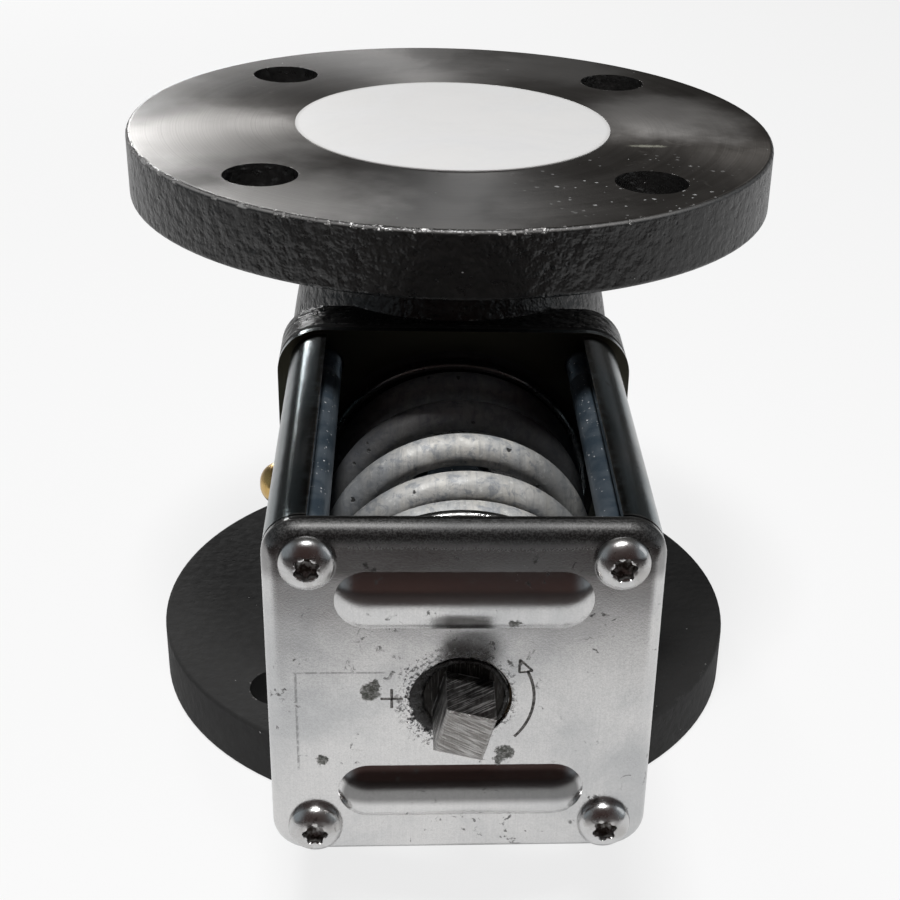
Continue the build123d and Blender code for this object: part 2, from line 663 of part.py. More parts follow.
with BuildPart() as rear_diaphragm_washer:
    with BuildSketch(front_plane(REAR_FACE - SOFT_GAP)):
        Circle(WASHER_RADIUS)
        Circle(STEM_RADIUS + SLIP_FIT, mode=Mode.SUBTRACT)
    extrude(amount=WASHER_THICK)
    fillet(circles_of(rear_diaphragm_washer, WASHER_RADIUS), WASHER_THICK / 4)
rear_diaphragm_washer.part.label = "rear_diaphragm_washer"
export_step(rear_diaphragm_washer.part, "parts/rear_diaphragm_washer.step")

with BuildPart() as rear_clamp_washer:
    with BuildSketch(front_plane(GUIDE_PLATE_Y + SOFT_GAP + REAR_CLAMP_THICK)):
        Circle(REAR_CLAMP_RADIUS)
        Circle(STEM_RADIUS + SLIP_FIT, mode=Mode.SUBTRACT)
    extrude(amount=REAR_CLAMP_THICK)
rear_clamp_washer.part.label = "rear_clamp_washer"
export_step(rear_clamp_washer.part, "parts/rear_clamp_washer.step")


# Guide plate behind the rear diaphragm, with the stem's seal and bush

with BuildPart() as guide_plate:
    with BuildSketch(front_plane(BELLOWS_RING_Y)):
        Circle(CUP_FLANGE_RADIUS)
        Circle(BUSH_RADIUS + SLIP_FIT, mode=Mode.SUBTRACT)
        with PolarLocations(CUP_SCREW_CIRCLE, CUP_SCREW_COUNT):
            Circle(CUP_SCREW_RADIUS + SCREW_CLEARANCE, mode=Mode.SUBTRACT)
    extrude(amount=GUIDE_PLATE_THICK)
    with BuildSketch(front_plane(GUIDE_PLATE_Y + GUIDE_POCKET_DEPTH)):
        Circle(GUIDE_POCKET_RADIUS)
    extrude(amount=GUIDE_POCKET_DEPTH, mode=Mode.SUBTRACT)
guide_plate.part.label = "guide_plate"
export_step(guide_plate.part, "parts/guide_plate.step")

SEAL_Y = GUIDE_PLATE_Y + GUIDE_POCKET_DEPTH + SEAL_LENGTH
BUSH_END_Y = SEAL_Y + SOFT_GAP + BUSH_LENGTH

with BuildPart() as stem_seal:
    with BuildSketch(front_plane(SEAL_Y)):
        Circle(BUSH_RADIUS - SOFT_GAP)
        Circle(STEM_RADIUS + SOFT_GAP, mode=Mode.SUBTRACT)
    extrude(amount=SEAL_LENGTH)
    fillet(stem_seal.edges().filter_by(GeomType.CIRCLE), SEAL_LENGTH / 3)
stem_seal.part.label = "stem_seal"
export_step(stem_seal.part, "parts/stem_seal.step")

with BuildPart() as guide_bush:
    with BuildSketch(front_plane(BUSH_END_Y)):
        Circle(BUSH_RADIUS)
        Circle(STEM_RADIUS + RUNNING_GAP, mode=Mode.SUBTRACT)
    extrude(amount=BUSH_LENGTH)
guide_bush.part.label = "guide_bush"
export_step(guide_bush.part, "parts/guide_bush.step")


# Bellows on its ring, closed by the cap that pushes the stem

with BuildPart() as bellows_ring:
    with BuildSketch(front_plane(BELLOWS_Y)):
        Circle(CUP_FLANGE_RADIUS)
        Circle(BELLOWS_INNER, mode=Mode.SUBTRACT)
        with PolarLocations(CUP_SCREW_CIRCLE, CUP_SCREW_COUNT):
            Circle(CUP_SCREW_RADIUS + SCREW_CLEARANCE, mode=Mode.SUBTRACT)
    extrude(amount=BELLOWS_RING_THICK)
bellows_ring.part.label = "bellows_ring"
export_step(bellows_ring.part, "parts/bellows_ring.step")

fold = BELLOWS_LENGTH / BELLOWS_FOLDS
outside = [(BELLOWS_Y, BELLOWS_INNER + BELLOWS_WALL)]
for k in range(BELLOWS_FOLDS):
    outside.append((BELLOWS_Y + (k + 0.5) * fold, BELLOWS_OUTER))
    outside.append((BELLOWS_Y + (k + 1) * fold, BELLOWS_INNER + BELLOWS_WALL))
inside = [(y, radius - BELLOWS_WALL) for y, radius in reversed(outside)]

with BuildPart() as bellows:
    with BuildSketch(stem_section()):
        with BuildLine():
            Polyline(*outside, *inside, close=True)
        make_face()
    revolve(axis=STEM_AXIS)
bellows.part.label = "bellows"
export_step(bellows.part, "parts/bellows.step")

with BuildPart() as bellows_cap:
    with BuildSketch(front_plane(BELLOWS_END_Y + BELLOWS_CAP_THICK)):
        Circle(BELLOWS_INNER + BELLOWS_WALL)
    extrude(amount=BELLOWS_CAP_THICK)
    fillet(bellows_cap.faces().sort_by(Axis.Y)[-1].edges(), BELLOWS_CAP_THICK / 2)
bellows_cap.part.label = "bellows_cap"
export_step(bellows_cap.part, "parts/bellows_cap.step")

with BuildPart() as cup_gasket:
    with BuildSketch(front_plane(CUP_Y)):
        Circle(CUP_FLANGE_RADIUS)
        Circle(CUP_RADIUS - CUP_SHEET, mode=Mode.SUBTRACT)
        with PolarLocations(CUP_SCREW_CIRCLE, CUP_SCREW_COUNT):
            Circle(CUP_SCREW_RADIUS + SCREW_CLEARANCE, mode=Mode.SUBTRACT)
    extrude(amount=GASKET_THICK)
cup_gasket.part.label = "cup_gasket"
export_step(cup_gasket.part, "parts/cup_gasket.step")


# Bellows cup: a drawn steel cup with a flange, its screws and its flare connector

with BuildPart() as cup_hollow:
    with BuildSketch(front_plane(CUP_END_Y - CUP_SHEET)):
        Circle(CUP_RADIUS - CUP_SHEET)
    extrude(amount=CUP_LENGTH - CUP_SHEET)
    fillet(cup_hollow.faces().sort_by(Axis.Y)[-1].edges(), CUP_END_BEND - CUP_SHEET)

with BuildPart() as bellows_cup:
    with BuildSketch(front_plane(CUP_END_Y)):
        Circle(CUP_RADIUS)
    extrude(amount=CUP_LENGTH)
    with BuildSketch(front_plane(CUP_Y + CUP_SHEET)):
        Circle(CUP_FLANGE_RADIUS)
    extrude(amount=CUP_SHEET)
    fillet(bellows_cup.faces().sort_by(Axis.Y)[-1].edges(), CUP_END_BEND)
    foot_edges = circles_of(bellows_cup, CUP_RADIUS).filter_by_position(Axis.Y, CUP_Y, CUP_Y + 2 * CUP_SHEET)
    fillet(foot_edges, CUP_FOOT_BEND)
    add(cup_hollow.part, mode=Mode.SUBTRACT)
    with BuildSketch(front_plane(CUP_END_Y)):
        Circle(CONNECTOR_SPIGOT_RADIUS + SLIP_FIT)
    extrude(amount=CUP_SHEET, mode=Mode.SUBTRACT)
    with BuildSketch(front_plane(CUP_Y + CUP_SHEET)):
        with PolarLocations(CUP_SCREW_CIRCLE, CUP_SCREW_COUNT):
            Circle(CUP_SCREW_RADIUS + SCREW_CLEARANCE)
    extrude(amount=CUP_SHEET, mode=Mode.SUBTRACT)
bellows_cup.part.label = "bellows_cup"
export_step(bellows_cup.part, "parts/bellows_cup.step")

with BuildPart() as cup_screws:
    with BuildSketch(front_plane(CUP_Y + CUP_SHEET)):
        with PolarLocations(CUP_SCREW_CIRCLE, CUP_SCREW_COUNT):
            Circle(CUP_SCREW_RADIUS)
    extrude(amount=CUP_Y + CUP_SHEET - REAR_FACE + CUP_SCREW_GRIP)
    with BuildSketch(front_plane(CUP_Y + CUP_SHEET + CUP_SCREW_HEAD)):
        with PolarLocations(CUP_SCREW_CIRCLE, CUP_SCREW_COUNT):
            RegularPolygon(CUP_SCREW_FLATS / 2, 6, major_radius=False)
    extrude(amount=CUP_SCREW_HEAD)
cup_screws.part.label = "cup_screws"
export_step(cup_screws.part, "parts/cup_screws.step")

with BuildPart() as flare_connector:
    with BuildSketch(front_plane(CUP_END_Y)):
        Circle(CONNECTOR_SPIGOT_RADIUS)
    extrude(amount=CONNECTOR_SPIGOT_LENGTH)
    with BuildSketch(front_plane(CUP_END_Y + CONNECTOR_HEX)):
        RegularPolygon(CONNECTOR_FLATS / 2, 6, major_radius=False)
    extrude(amount=CONNECTOR_HEX)
    with BuildSketch(front_plane(CUP_END_Y + CONNECTOR_HEX + CONNECTOR_LENGTH)):
        Circle(CONNECTOR_RADIUS)
    extrude(amount=CONNECTOR_LENGTH)
    chamfer(flare_connector.faces().sort_by(Axis.Y)[-1].edges(), CONNECTOR_CONE)
    with BuildSketch(front_plane(CUP_END_Y + CONNECTOR_HEX + CONNECTOR_LENGTH)):
        Circle(CONNECTOR_BORE)
    extrude(amount=CONNECTOR_LENGTH + CONNECTOR_HEX + CONNECTOR_SPIGOT_LENGTH, mode=Mode.SUBTRACT)
flare_connector.part.label = "flare_connector"
export_step(flare_connector.part, "parts/flare_connector.step")


# Brass vent plug and its washer

with BuildPart() as vent_plug:
    with BuildSketch(PLUG_PLANE):
        Circle(PLUG_SHANK_RADIUS)
    extrude(amount=-PLUG_SHANK_LENGTH)
    with BuildSketch(PLUG_PLANE):
        Circle(PLUG_SHANK_RADIUS)
    extrude(amount=PLUG_WASHER_THICK)
    with BuildSketch(PLUG_PLANE.offset(PLUG_WASHER_THICK)):
        Circle(PLUG_HEAD_RADIUS)
    extrude(amount=PLUG_HEAD_HEIGHT)
    fillet(vent_plug.faces().sort_by(Axis.X)[0].edges(), PLUG_HEAD_RADIUS * PLUG_ROUNDNESS)
vent_plug.part.label = "vent_plug"
export_step(vent_plug.part, "parts/vent_plug.step")

with BuildPart() as vent_plug_washer:
    with BuildSketch(PLUG_PLANE):
        Circle(PLUG_WASHER_RADIUS)
        Circle(PLUG_SHANK_RADIUS + SLIP_FIT, mode=Mode.SUBTRACT)
    extrude(amount=PLUG_WASHER_THICK)
vent_plug_washer.part.label = "vent_plug_washer"
export_step(vent_plug_washer.part, "parts/vent_plug_washer.step")


# Round label that keeps dirt out of the top port until the valve is fitted

with BuildPart() as protective_label:
    with BuildSketch(Plane.XY.offset(FACE_TO_FACE)):
        Circle(LABEL_RADIUS)
    extrude(amount=LABEL_THICK)
protective_label.part.label = "protective_label"
export_step(protective_label.part, "parts/protective_label.step")
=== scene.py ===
import math

import bpy
import numpy as np
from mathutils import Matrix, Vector, noise


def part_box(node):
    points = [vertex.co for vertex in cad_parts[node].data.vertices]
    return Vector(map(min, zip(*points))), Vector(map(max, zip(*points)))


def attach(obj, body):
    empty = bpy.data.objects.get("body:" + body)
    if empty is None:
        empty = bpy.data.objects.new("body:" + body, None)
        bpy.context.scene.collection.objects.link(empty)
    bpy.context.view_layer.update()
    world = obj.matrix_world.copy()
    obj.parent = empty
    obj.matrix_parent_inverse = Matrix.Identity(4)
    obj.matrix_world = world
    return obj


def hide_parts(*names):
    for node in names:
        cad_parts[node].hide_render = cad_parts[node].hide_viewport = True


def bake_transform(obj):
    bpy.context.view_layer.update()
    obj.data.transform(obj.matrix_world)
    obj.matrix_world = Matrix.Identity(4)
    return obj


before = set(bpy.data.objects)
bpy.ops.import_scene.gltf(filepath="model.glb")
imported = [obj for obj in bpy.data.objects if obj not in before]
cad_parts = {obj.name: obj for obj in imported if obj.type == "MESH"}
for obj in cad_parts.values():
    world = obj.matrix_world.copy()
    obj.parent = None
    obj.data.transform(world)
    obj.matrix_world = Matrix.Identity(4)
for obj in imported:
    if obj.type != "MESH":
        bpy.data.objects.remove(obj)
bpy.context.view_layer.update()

# Looks for a flanged water regulating valve. Metres, in the part's own frame: the pipe axis runs up Z, the
# stem along Y with the spring cage towards -Y.

MM = 0.001
TURN = 2 * math.pi

AXIS_Z = 86.25 * MM
TOP_FACE = 172.5 * MM
CAGE_FRONT = -153.6 * MM
SCREW_X = 33.6 * MM
SCREW_Z = 35.4 * MM


# Small helpers for shader trees


def put(tree, kind, feeds=None, **settings):
    """A new node with its settings, and its inputs fed by name or number."""
    made = tree.nodes.new(kind)
    for name, value in settings.items():
        setattr(made, name, value)
    for name, value in (feeds or {}).items():
        feed(tree, made.inputs[name], value)
    return made


def feed(tree, socket, value):
    """Links the socket to another node's output, or sets it to a plain value."""
    if isinstance(value, bpy.types.NodeSocket):
        tree.links.new(value, socket)
    else:
        socket.default_value = value


def calc(tree, operation, a, b=0.0, c=0.0):
    return put(tree, "ShaderNodeMath", {0: a, 1: b, 2: c}, operation=operation).outputs[0]


def times(tree, first, *others):
    """The product of all the values."""
    for other in others:
        first = calc(tree, "MULTIPLY", first, other)
    return first


def most(tree, first, *others):
    """The largest of the values."""
    for other in others:
        first = calc(tree, "MAXIMUM", first, other)
    return first


def plus(tree, value, factor, base):
    """The base with a share of the value added."""
    return calc(tree, "MULTIPLY_ADD", value, factor, base)


def off_by(tree, value, centre):
    """How far the value lies from the centre, on either side."""
    return calc(tree, "ABSOLUTE", calc(tree, "SUBTRACT", value, centre))


def diagonal(tree, a, b):
    """The length of the two sides' diagonal."""
    return calc(tree, "SQRT", calc(tree, "ADD", times(tree, a, a), times(tree, b, b)))


def between(tree, value, low, high, low_out=0.0, high_out=1.0):
    """The value's place between low and high, eased, from low_out to high_out."""
    feeds = {"Value": value, "From Min": low, "From Max": high, "To Min": low_out, "To Max": high_out}
    return put(tree, "ShaderNodeMapRange", feeds, interpolation_type="SMOOTHSTEP").outputs["Result"]


def between_mm(tree, value, low, high, low_out=0.0, high_out=1.0):
    """The same for a length, with both ends in millimetres."""
    return between(tree, value, low * MM, high * MM, low_out, high_out)


def mixed(tree, share, first, second):
    """One colour laid over another."""
    made = put(tree, "ShaderNodeMix", data_type="RGBA", blend_type="MIX", clamp_factor=True)
    for name, value in (("Factor_Float", share), ("A_Color", first), ("B_Color", second)):
        feed(tree, next(s for s in made.inputs if s.identifier == name), value)
    return next(s for s in made.outputs if s.identifier == "Result_Color")


def layered(tree, colour, *layers):
    """Colours laid over the first one in turn, each layer a share and a colour."""
    for share, paint in layers:
        colour = mixed(tree, share, colour, paint)
    return colour


def grey(value, warm=0.0):
    """A grey paint; warm leans it towards brown, and below zero towards blue."""
    return (value * (1 + warm), value, value * (1 - warm), 1.0)


def tone(red, green, blue):
    return (red, green, blue, 1.0)


def vector(tree, operation, first, second):
    """A sum, product or difference of two vectors."""
    return put(tree, "ShaderNodeVectorMath", {0: first, 1: second}, operation=operation).outputs[0]


def scaled(tree, point, factor):
    return put(tree, "ShaderNodeVectorMath", {0: point, "Scale": factor}, operation="SCALE").outputs[0]


def split(tree, point):
    """The point's X, Y and Z."""
    return put(tree, "ShaderNodeSeparateXYZ", {0: point}).outputs


def object_point(tree):
    return put(tree, "ShaderNodeTexCoord").outputs["Object"]


def facing(tree):
    """The way the surface faces, as X, Y and Z."""
    return split(tree, put(tree, "ShaderNodeNewGeometry").outputs["Normal"])


def away_from(tree, *centre):
    """Distance from a place on the part."""
    feeds = {0: object_point(tree), 1: centre}
    return put(tree, "ShaderNodeVectorMath", feeds, operation="DISTANCE").outputs["Value"]


def cloud_at(tree, point, scale, detail=4.0, roughness=0.55, distortion=0.0):
    """Soft noise over a point that has been stretched or turned."""
    feeds = {"Vector": point, "Scale": scale, "Detail": detail, "Roughness": roughness}
    feeds["Distortion"] = distortion
    return put(tree, "ShaderNodeTexNoise", feeds).outputs["Fac"]


def cloud(tree, scale, detail=4.0, roughness=0.55, distortion=0.0):
    """Soft noise fixed to the part."""
    return cloud_at(tree, object_point(tree), scale, detail, roughness, distortion)


def cells_at(tree, point, scale):
    """Cells of random size, with the distance from their centres."""
    feeds = {"Vector": point, "Scale": scale, "Randomness": 1.0}
    return put(tree, "ShaderNodeTexVoronoi", feeds).outputs


# Effects that several finishes share, each a node group


def shared_effect(name, inputs, outputs):
    """An empty node group with its named sockets: the tree, its input sockets and its output sockets."""
    tree = bpy.data.node_groups.new(name, "ShaderNodeTree")
    for socket, value in inputs.items():
        kind = "NodeSocketVector" if isinstance(value, tuple) else "NodeSocketFloat"
        tree.interface.new_socket(name=socket, in_out="INPUT", socket_type=kind).default_value = value
    for socket in outputs:
        tree.interface.new_socket(name=socket, in_out="OUTPUT", socket_type="NodeSocketFloat")
    return tree, tree.nodes.new("NodeGroupInput").outputs, tree.nodes.new("NodeGroupOutput").inputs


def place_effect(tree, group, **feeds):
    """Puts a shared effect in a material and returns its outputs."""
    made = put(tree, "ShaderNodeGroup", node_tree=group)
    for name, value in feeds.items():
        feed(tree, made.inputs[name], value)
    return made.outputs


def make_cast_skin():
    """Sand-cast skin under paint: broad lumps, fine grain and small blow holes."""
    tree, given, result = shared_effect("cast_skin", {"Size": 1.0}, ["Height", "Holes", "Lumps"])
    point = scaled(tree, object_point(tree), given["Size"])
    lumps = cloud_at(tree, point, 390, 2, 0.5)
    grain = cloud_at(tree, point, 900, 3, 0.55)
    calm = between(tree, cloud_at(tree, point, 24, 2), 0.42, 0.56, 0.45, 1.0)
    near = between(tree, cells_at(tree, point, 420.0)["Distance"], 0.02, 0.3, 1.0, 0.0)
    holes = times(tree, near, between(tree, cloud_at(tree, point, 70, 2), 0.52, 0.66))
    height = plus(tree, holes, -0.4, plus(tree, grain, 0.2, lumps))
    feed(tree, result["Height"], times(tree, height, calm))
    feed(tree, result["Holes"], holes)
    feed(tree, result["Lumps"], lumps)
    return tree


def make_worn_edge():
    """Where a rounded edge is rubbed: 1 along the edge, broken up by noise."""
    inputs = {"Width": 0.001, "Breaks": 0.5, "Scale": 300.0}
    tree, given, result = shared_effect("worn_edge", inputs, ["Edge", "Wear"])
    rounded = put(tree, "ShaderNodeBevel", {"Radius": given["Width"]}, samples=6).outputs[0]
    plain = put(tree, "ShaderNodeNewGeometry").outputs["Normal"]
    turned = put(tree, "ShaderNodeVectorMath", {0: rounded, 1: plain}, operation="DOT_PRODUCT")
    edge = between(tree, turned.outputs["Value"], 0.995, 0.9)
    patches = cloud(tree, given["Scale"], 5, 0.6)
    low = plus(tree, given["Breaks"], 0.35, 0.3)
    feed(tree, result["Edge"], edge)
    feed(tree, result["Wear"], times(tree, edge, between(tree, patches, low, calc(tree, "ADD", low, 0.08))))
    return tree


def make_specks():
    """Scattered small marks, each an irregular dot."""
    tree, given, result = shared_effect("specks", {"Scale": 300.0, "Share": 0.2, "Size": 0.2}, ["Mask"])
    point = object_point(tree)
    wobble = put(tree, "ShaderNodeTexNoise", {"Vector": point, "Scale": 900.0, "Detail": 2.0})
    wobble = wobble.outputs["Color"]
    shift = scaled(tree, vector(tree, "SUBTRACT", wobble, (0.5, 0.5, 0.5)), 1.2 * MM)
    cells = cells_at(tree, vector(tree, "ADD", point, shift), given["Scale"])
    chosen = put(tree, "ShaderNodeSeparateColor", {0: cells["Color"]}).outputs["Red"]
    kept = calc(tree, "LESS_THAN", chosen, given["Share"])
    size = times(tree, given["Size"], plus(tree, chosen, 2.0, 0.5))
    dot = between(tree, cells["Distance"], times(tree, size, 0.6), size, 1.0, 0.0)
    feed(tree, result["Mask"], times(tree, dot, kept))
    return tree


def make_drawn_lines():
    """Fine lines along one direction, as on drawn or sawn metal; Stretch is large across the lines."""
    inputs = {"Stretch": (1.0, 1.0, 1.0), "Turn": (0.0, 0.0, 0.0)}
    tree, given, result = shared_effect("drawn_lines", inputs, ["Line"])
    feeds = {"Vector": object_point(tree), "Rotation": given["Turn"]}
    point = put(tree, "ShaderNodeMapping", feeds, vector_type="POINT").outputs[0]
    feed(tree, result["Line"], cloud_at(tree, vector(tree, "MULTIPLY", point, given["Stretch"]), 1.0, 3, 0.6))
    return tree


def make_stains():
    """Broad cloudy stains and small splashes."""
    tree, given, result = shared_effect("stains", {"Scale": 60.0, "Spread": 0.5}, ["Cloud", "Splash"])
    broad = cloud(tree, given["Scale"], 5, 0.6, 0.4)
    middle = calc(tree, "SUBTRACT", 1.0, given["Spread"])
    low, high = calc(tree, "SUBTRACT", middle, 0.15), calc(tree, "ADD", middle, 0.15)
    feed(tree, result["Cloud"], between(tree, broad, low, high))
    fine = cloud(tree, times(tree, given["Scale"], 4.3), 6, 0.65, 0.8)
    splash = times(tree, between(tree, fine, 0.6, 0.66), between(tree, broad, 0.5, 0.6))
    feed(tree, result["Splash"], splash)
    return tree


def make_along_stem():
    """Place by the stem: distance from its axis, in front of the pipe axis, to the side and up."""
    tree, given, result = shared_effect("along_stem", {}, ["Radius", "Front", "Side", "Up"])
    part = split(tree, object_point(tree))
    up = calc(tree, "SUBTRACT", part["Z"], AXIS_Z)
    feed(tree, result["Radius"], diagonal(tree, part["X"], up))
    feed(tree, result["Front"], times(tree, part["Y"], -1.0))
    feed(tree, result["Side"], part["X"])
    feed(tree, result["Up"], up)
    return tree


CAST_SKIN = make_cast_skin()
WORN_EDGE = make_worn_edge()
SPECKS = make_specks()
DRAWN_LINES = make_drawn_lines()
STAINS = make_stains()
ALONG_STEM = make_along_stem()


def specks(tree, scale, share, size):
    return place_effect(tree, SPECKS, Scale=scale, Share=share, Size=size)["Mask"]


def stains(tree, scale, spread=0.5):
    return place_effect(tree, STAINS, Scale=scale, Spread=spread)


def drawn_lines(tree, stretch, turn=0.0, axis=2):
    """Lines in the material; the turn is about the given axis."""
    if not turn:
        return place_effect(tree, DRAWN_LINES, Stretch=stretch)["Line"]
    rotation = [0.0, 0.0, 0.0]
    rotation[axis] = turn
    return place_effect(tree, DRAWN_LINES, Stretch=stretch, Turn=rotation)["Line"]


# Finishes


def start_finish(name, **plain):
    """A new material: its tree and its Principled shader, with the values that are the same all over."""
    made = bpy.data.materials.new(name)
    made.use_nodes = True
    tree = made.node_tree
    shader = next(n for n in tree.nodes if n.type == "BSDF_PRINCIPLED")
    for socket, value in plain.items():
        shader.inputs[socket.replace("_", " ")].default_value = value
    return made, tree, shader


def bumped(tree, shader, height, distance, strength=1.0):
    feeds = {"Height": height, "Distance": distance, "Strength": strength}
    feed(tree, shader.inputs["Normal"], put(tree, "ShaderNodeBump", feeds).outputs[0])


# Painted highlights and painted shade on the top face, as patches: x, y, where the patch is full and where it
# ends in mm, its share, its grey
TOP_FACE_PAINTED_LIGHT = (
    (-4.0, -62.0, 12.0, 36.0, 0.75, 0.015),
    (-34.0, 62.0, 10.0, 30.0, 0.4, 0.02),
    (-66.0, -16.0, 14.0, 44.0, 0.95, 0.42),
    (-42.0, -66.0, 8.0, 32.0, 0.75, 0.44),
    (59.0, 12.0, 8.0, 34.0, 0.85, 0.42),
    (32.0, 70.0, 8.0, 34.0, 0.7, 0.26),
    (-92.0, 10.0, 8.0, 24.0, 0.75, 0.05),
)


def turned_face(tree, radius, rings, haze, splash):
    """Bare turned metal of the flange faces: rings and stains, with patches of painted highlight and painted
    shade and one pale streak of painted highlight.
    """
    broad_rings = cloud_at(tree, put(tree, "ShaderNodeCombineXYZ", {"X": radius}).outputs[0], 190, 2, 0.5)
    metal = layered(
        tree, mixed(tree, between(tree, haze, 0.3, 0.7), grey(0.045, 0.1), grey(0.085, 0.08)),
        (between(tree, rings, 0.35, 0.65, 0.0, 0.5), grey(0.025, 0.12)),
        (between(tree, broad_rings, 0.4, 0.6, 0.0, 0.25), grey(0.12, 0.06)),
        (times(tree, splash, 0.4), grey(0.16, 0.06)),
    )
    streaks = cloud(tree, 60, 4)
    # Patches of painted highlight (pale greys) and painted shade (dark greys), laid over the metal
    for x, y, full, end, share, shade in TOP_FACE_PAINTED_LIGHT:
        away = away_from(tree, x * MM, y * MM, TOP_FACE)
        ragged = plus(tree, streaks, 0.03, calc(tree, "SUBTRACT", away, 0.015))
        painted_light_patch = times(tree, between_mm(tree, ragged, end, full), between(tree, rings, 0.25, 0.6, 0.6, 1.0))
        metal = mixed(tree, times(tree, painted_light_patch, share), metal, grey(shade, 0.03))
    # A pale streak right of the label: a painted highlight.
    smear_and_highlight = vector(tree, "ADD", object_point(tree), (-0.052, 0.0174, -TOP_FACE))
    smear_and_highlight = put(tree, "ShaderNodeMapping", {0: smear_and_highlight, "Rotation": (0, 0, -0.38), "Scale": (150, 700, 150)})
    length = put(tree, "ShaderNodeVectorMath", {0: smear_and_highlight.outputs[0]}, operation="LENGTH").outputs["Value"]
    smear_and_highlight = between(tree, plus(tree, cloud(tree, 500, 4), 1.4, length), 1.7, 0.9)
    return mixed(tree, times(tree, smear_and_highlight, 0.7), metal, tone(0.5, 0.5, 0.42))


def rim_wear(tree, part, radius, level, off_middle):
    """Paint worn off open edges and chipped off the top rim, and the bright line along that rim."""
    edge = place_effect(tree, WORN_EDGE, Width=1.2 * MM, Breaks=0.75, Scale=430.0)
    corner = times(tree, between_mm(tree, radius, 87.3, 88.4), between_mm(tree, part["Z"], 171.2, 171.9))
    left_front = plus(tree, part["X"], 0.5, part["Y"])
    least = between_mm(tree, left_front, -20, -85, 0.66, 0.53)
    ragged = cloud(tree, 380, 6, 0.7)
    chips = times(tree, corner, between(tree, ragged, least, calc(tree, "ADD", least, 0.07)))
    open_edge = most(tree, between(tree, level, 0.2, 0.5), between_mm(tree, radius, 86.5, 87.0),
                     between_mm(tree, off_middle, 66, 62))
    worn = most(tree, times(tree, edge["Wear"], open_edge, 0.7), chips)
    brink = times(tree, between_mm(tree, radius, 88.1, 88.6), between_mm(tree, part["Z"], 171.6, 172.1),
                  between_mm(tree, left_front, -20, -70, 0.1, 0.5))
    return worn, brink


def painted_casting():
    """Black paint over the rough casting, and bare turned metal on the two flange faces."""
    made, tree, shader = start_finish("black_painted_casting")
    part = split(tree, object_point(tree))
    level = calc(tree, "ABSOLUTE", facing(tree)["Z"])
    off_middle = off_by(tree, part["Z"], AXIS_Z)
    turned = times(tree, between(tree, level, 0.9, 0.99), calc(tree, "GREATER_THAN", off_middle, 85.5 * MM))
    painted = calc(tree, "SUBTRACT", 1.0, turned)
    lower = between_mm(tree, part["Z"], 30, 20)
    radius = diagonal(tree, part["X"], part["Y"])
    rings = cloud_at(tree, put(tree, "ShaderNodeCombineXYZ", {"X": radius}).outputs[0], 2600, 3, 0.7)
    haze = cloud(tree, 26, 5, 0.6, 0.6)
    skin = place_effect(tree, CAST_SKIN, Size=1.0)
    film = stains(tree, 38.0, 0.45)
    worn, brink = rim_wear(tree, part, radius, level, off_middle)
    by_hole = between_mm(tree, away_from(tree, 45 * MM, -52 * MM, TOP_FACE), 36, 14)
    crumbs = times(tree, specks(tree, 380.0, 0.5, 0.2), by_hole)
    dust = most(tree, specks(tree, 330.0, 0.09, 0.12), times(tree, crumbs, turned))

    paint = layered(
        tree, mixed(tree, skin["Lumps"], grey(0.009, 0.02), grey(0.018, 0.03)),
        (times(tree, skin["Holes"], 0.7), grey(0.005)),
        (times(tree, film["Cloud"], 0.3), grey(0.028, 0.04)),
    )
    colour = layered(
        tree, mixed(tree, turned, paint, turned_face(tree, radius, rings, haze, film["Splash"])),
        (dust, grey(0.6)),
        (worn, grey(0.45, 0.02)),
        (brink, grey(0.4, 0.02)),
    )
    feed(tree, shader.inputs["Base Color"], colour)

    rough_paint = plus(tree, lower, 0.5, plus(tree, skin["Lumps"], 0.2, 0.2))
    rough_metal = between(tree, haze, 0.25, 0.75, 0.34, 0.48)
    rough = calc(tree, "ADD", times(tree, rough_paint, painted), times(tree, rough_metal, turned))
    feed(tree, shader.inputs["Roughness"], most(tree, rough, times(tree, dust, 0.8)))
    feed(tree, shader.inputs["Metallic"], most(tree, times(tree, turned, 0.8), times(tree, worn, 0.5)))
    cast = times(tree, skin["Height"], painted, plus(tree, lower, -0.65, 1.0))
    height = plus(tree, worn, -0.3, plus(tree, times(tree, rings, turned), 0.035, cast))
    bumped(tree, shader, height, 0.9 * MM)
    feed(tree, shader.inputs["Anisotropic"], times(tree, turned, 0.8))
    round_pipe = put(tree, "ShaderNodeTangent", direction_type="RADIAL", axis="Z")
    feed(tree, shader.inputs["Tangent"], round_pipe.outputs[0])
    return made


def painted_sheet_shade(tree, stem):
    """Painted shade on the front plate: its darker top, the lower rib's darker hollow, and the screw's
    painted dark reflection above it.
    """
    top = between_mm(tree, stem["Up"], 29.5, 33.5)
    lower, upper = between_mm(tree, stem["Up"], -29.0, -26.2), between_mm(tree, stem["Up"], -18.0, -19.2)
    hollow = times(tree, lower, upper, between_mm(tree, stem["Front"], 153.9, 154.6))
    over_screw = away_from(tree, 2 * MM, CAGE_FRONT, AXIS_Z + 13 * MM)
    painted_screw_reflection = between_mm(tree, over_screw, 8.5, 3.0, 0.0, 0.7)
    painted_screw_reflection = times(tree, painted_screw_reflection, between_mm(tree, stem["Up"], 18.6, 17.0))
    return most(tree, times(tree, top, 0.55), most(tree, times(tree, hollow, 0.7), painted_screw_reflection))


def window_lip(tree, stem, walls):
    """Dirt along the edges of the cage's upper and lower windows."""
    sideways = between_mm(tree, calc(tree, "ABSOLUTE", stem["Side"]), 36.5, 34.5)
    upright = between_mm(tree, calc(tree, "ABSOLUTE", stem["Up"]), 40.0, 41.5)
    lip = times(tree, sideways, upright)
    lip = times(tree, lip, times(tree, walls, between_mm(tree, stem["Front"], 50.5, 52.0)))
    return times(tree, lip, between(tree, cloud(tree, 330, 5, 0.65), 0.36, 0.56, 0.25, 1.0))


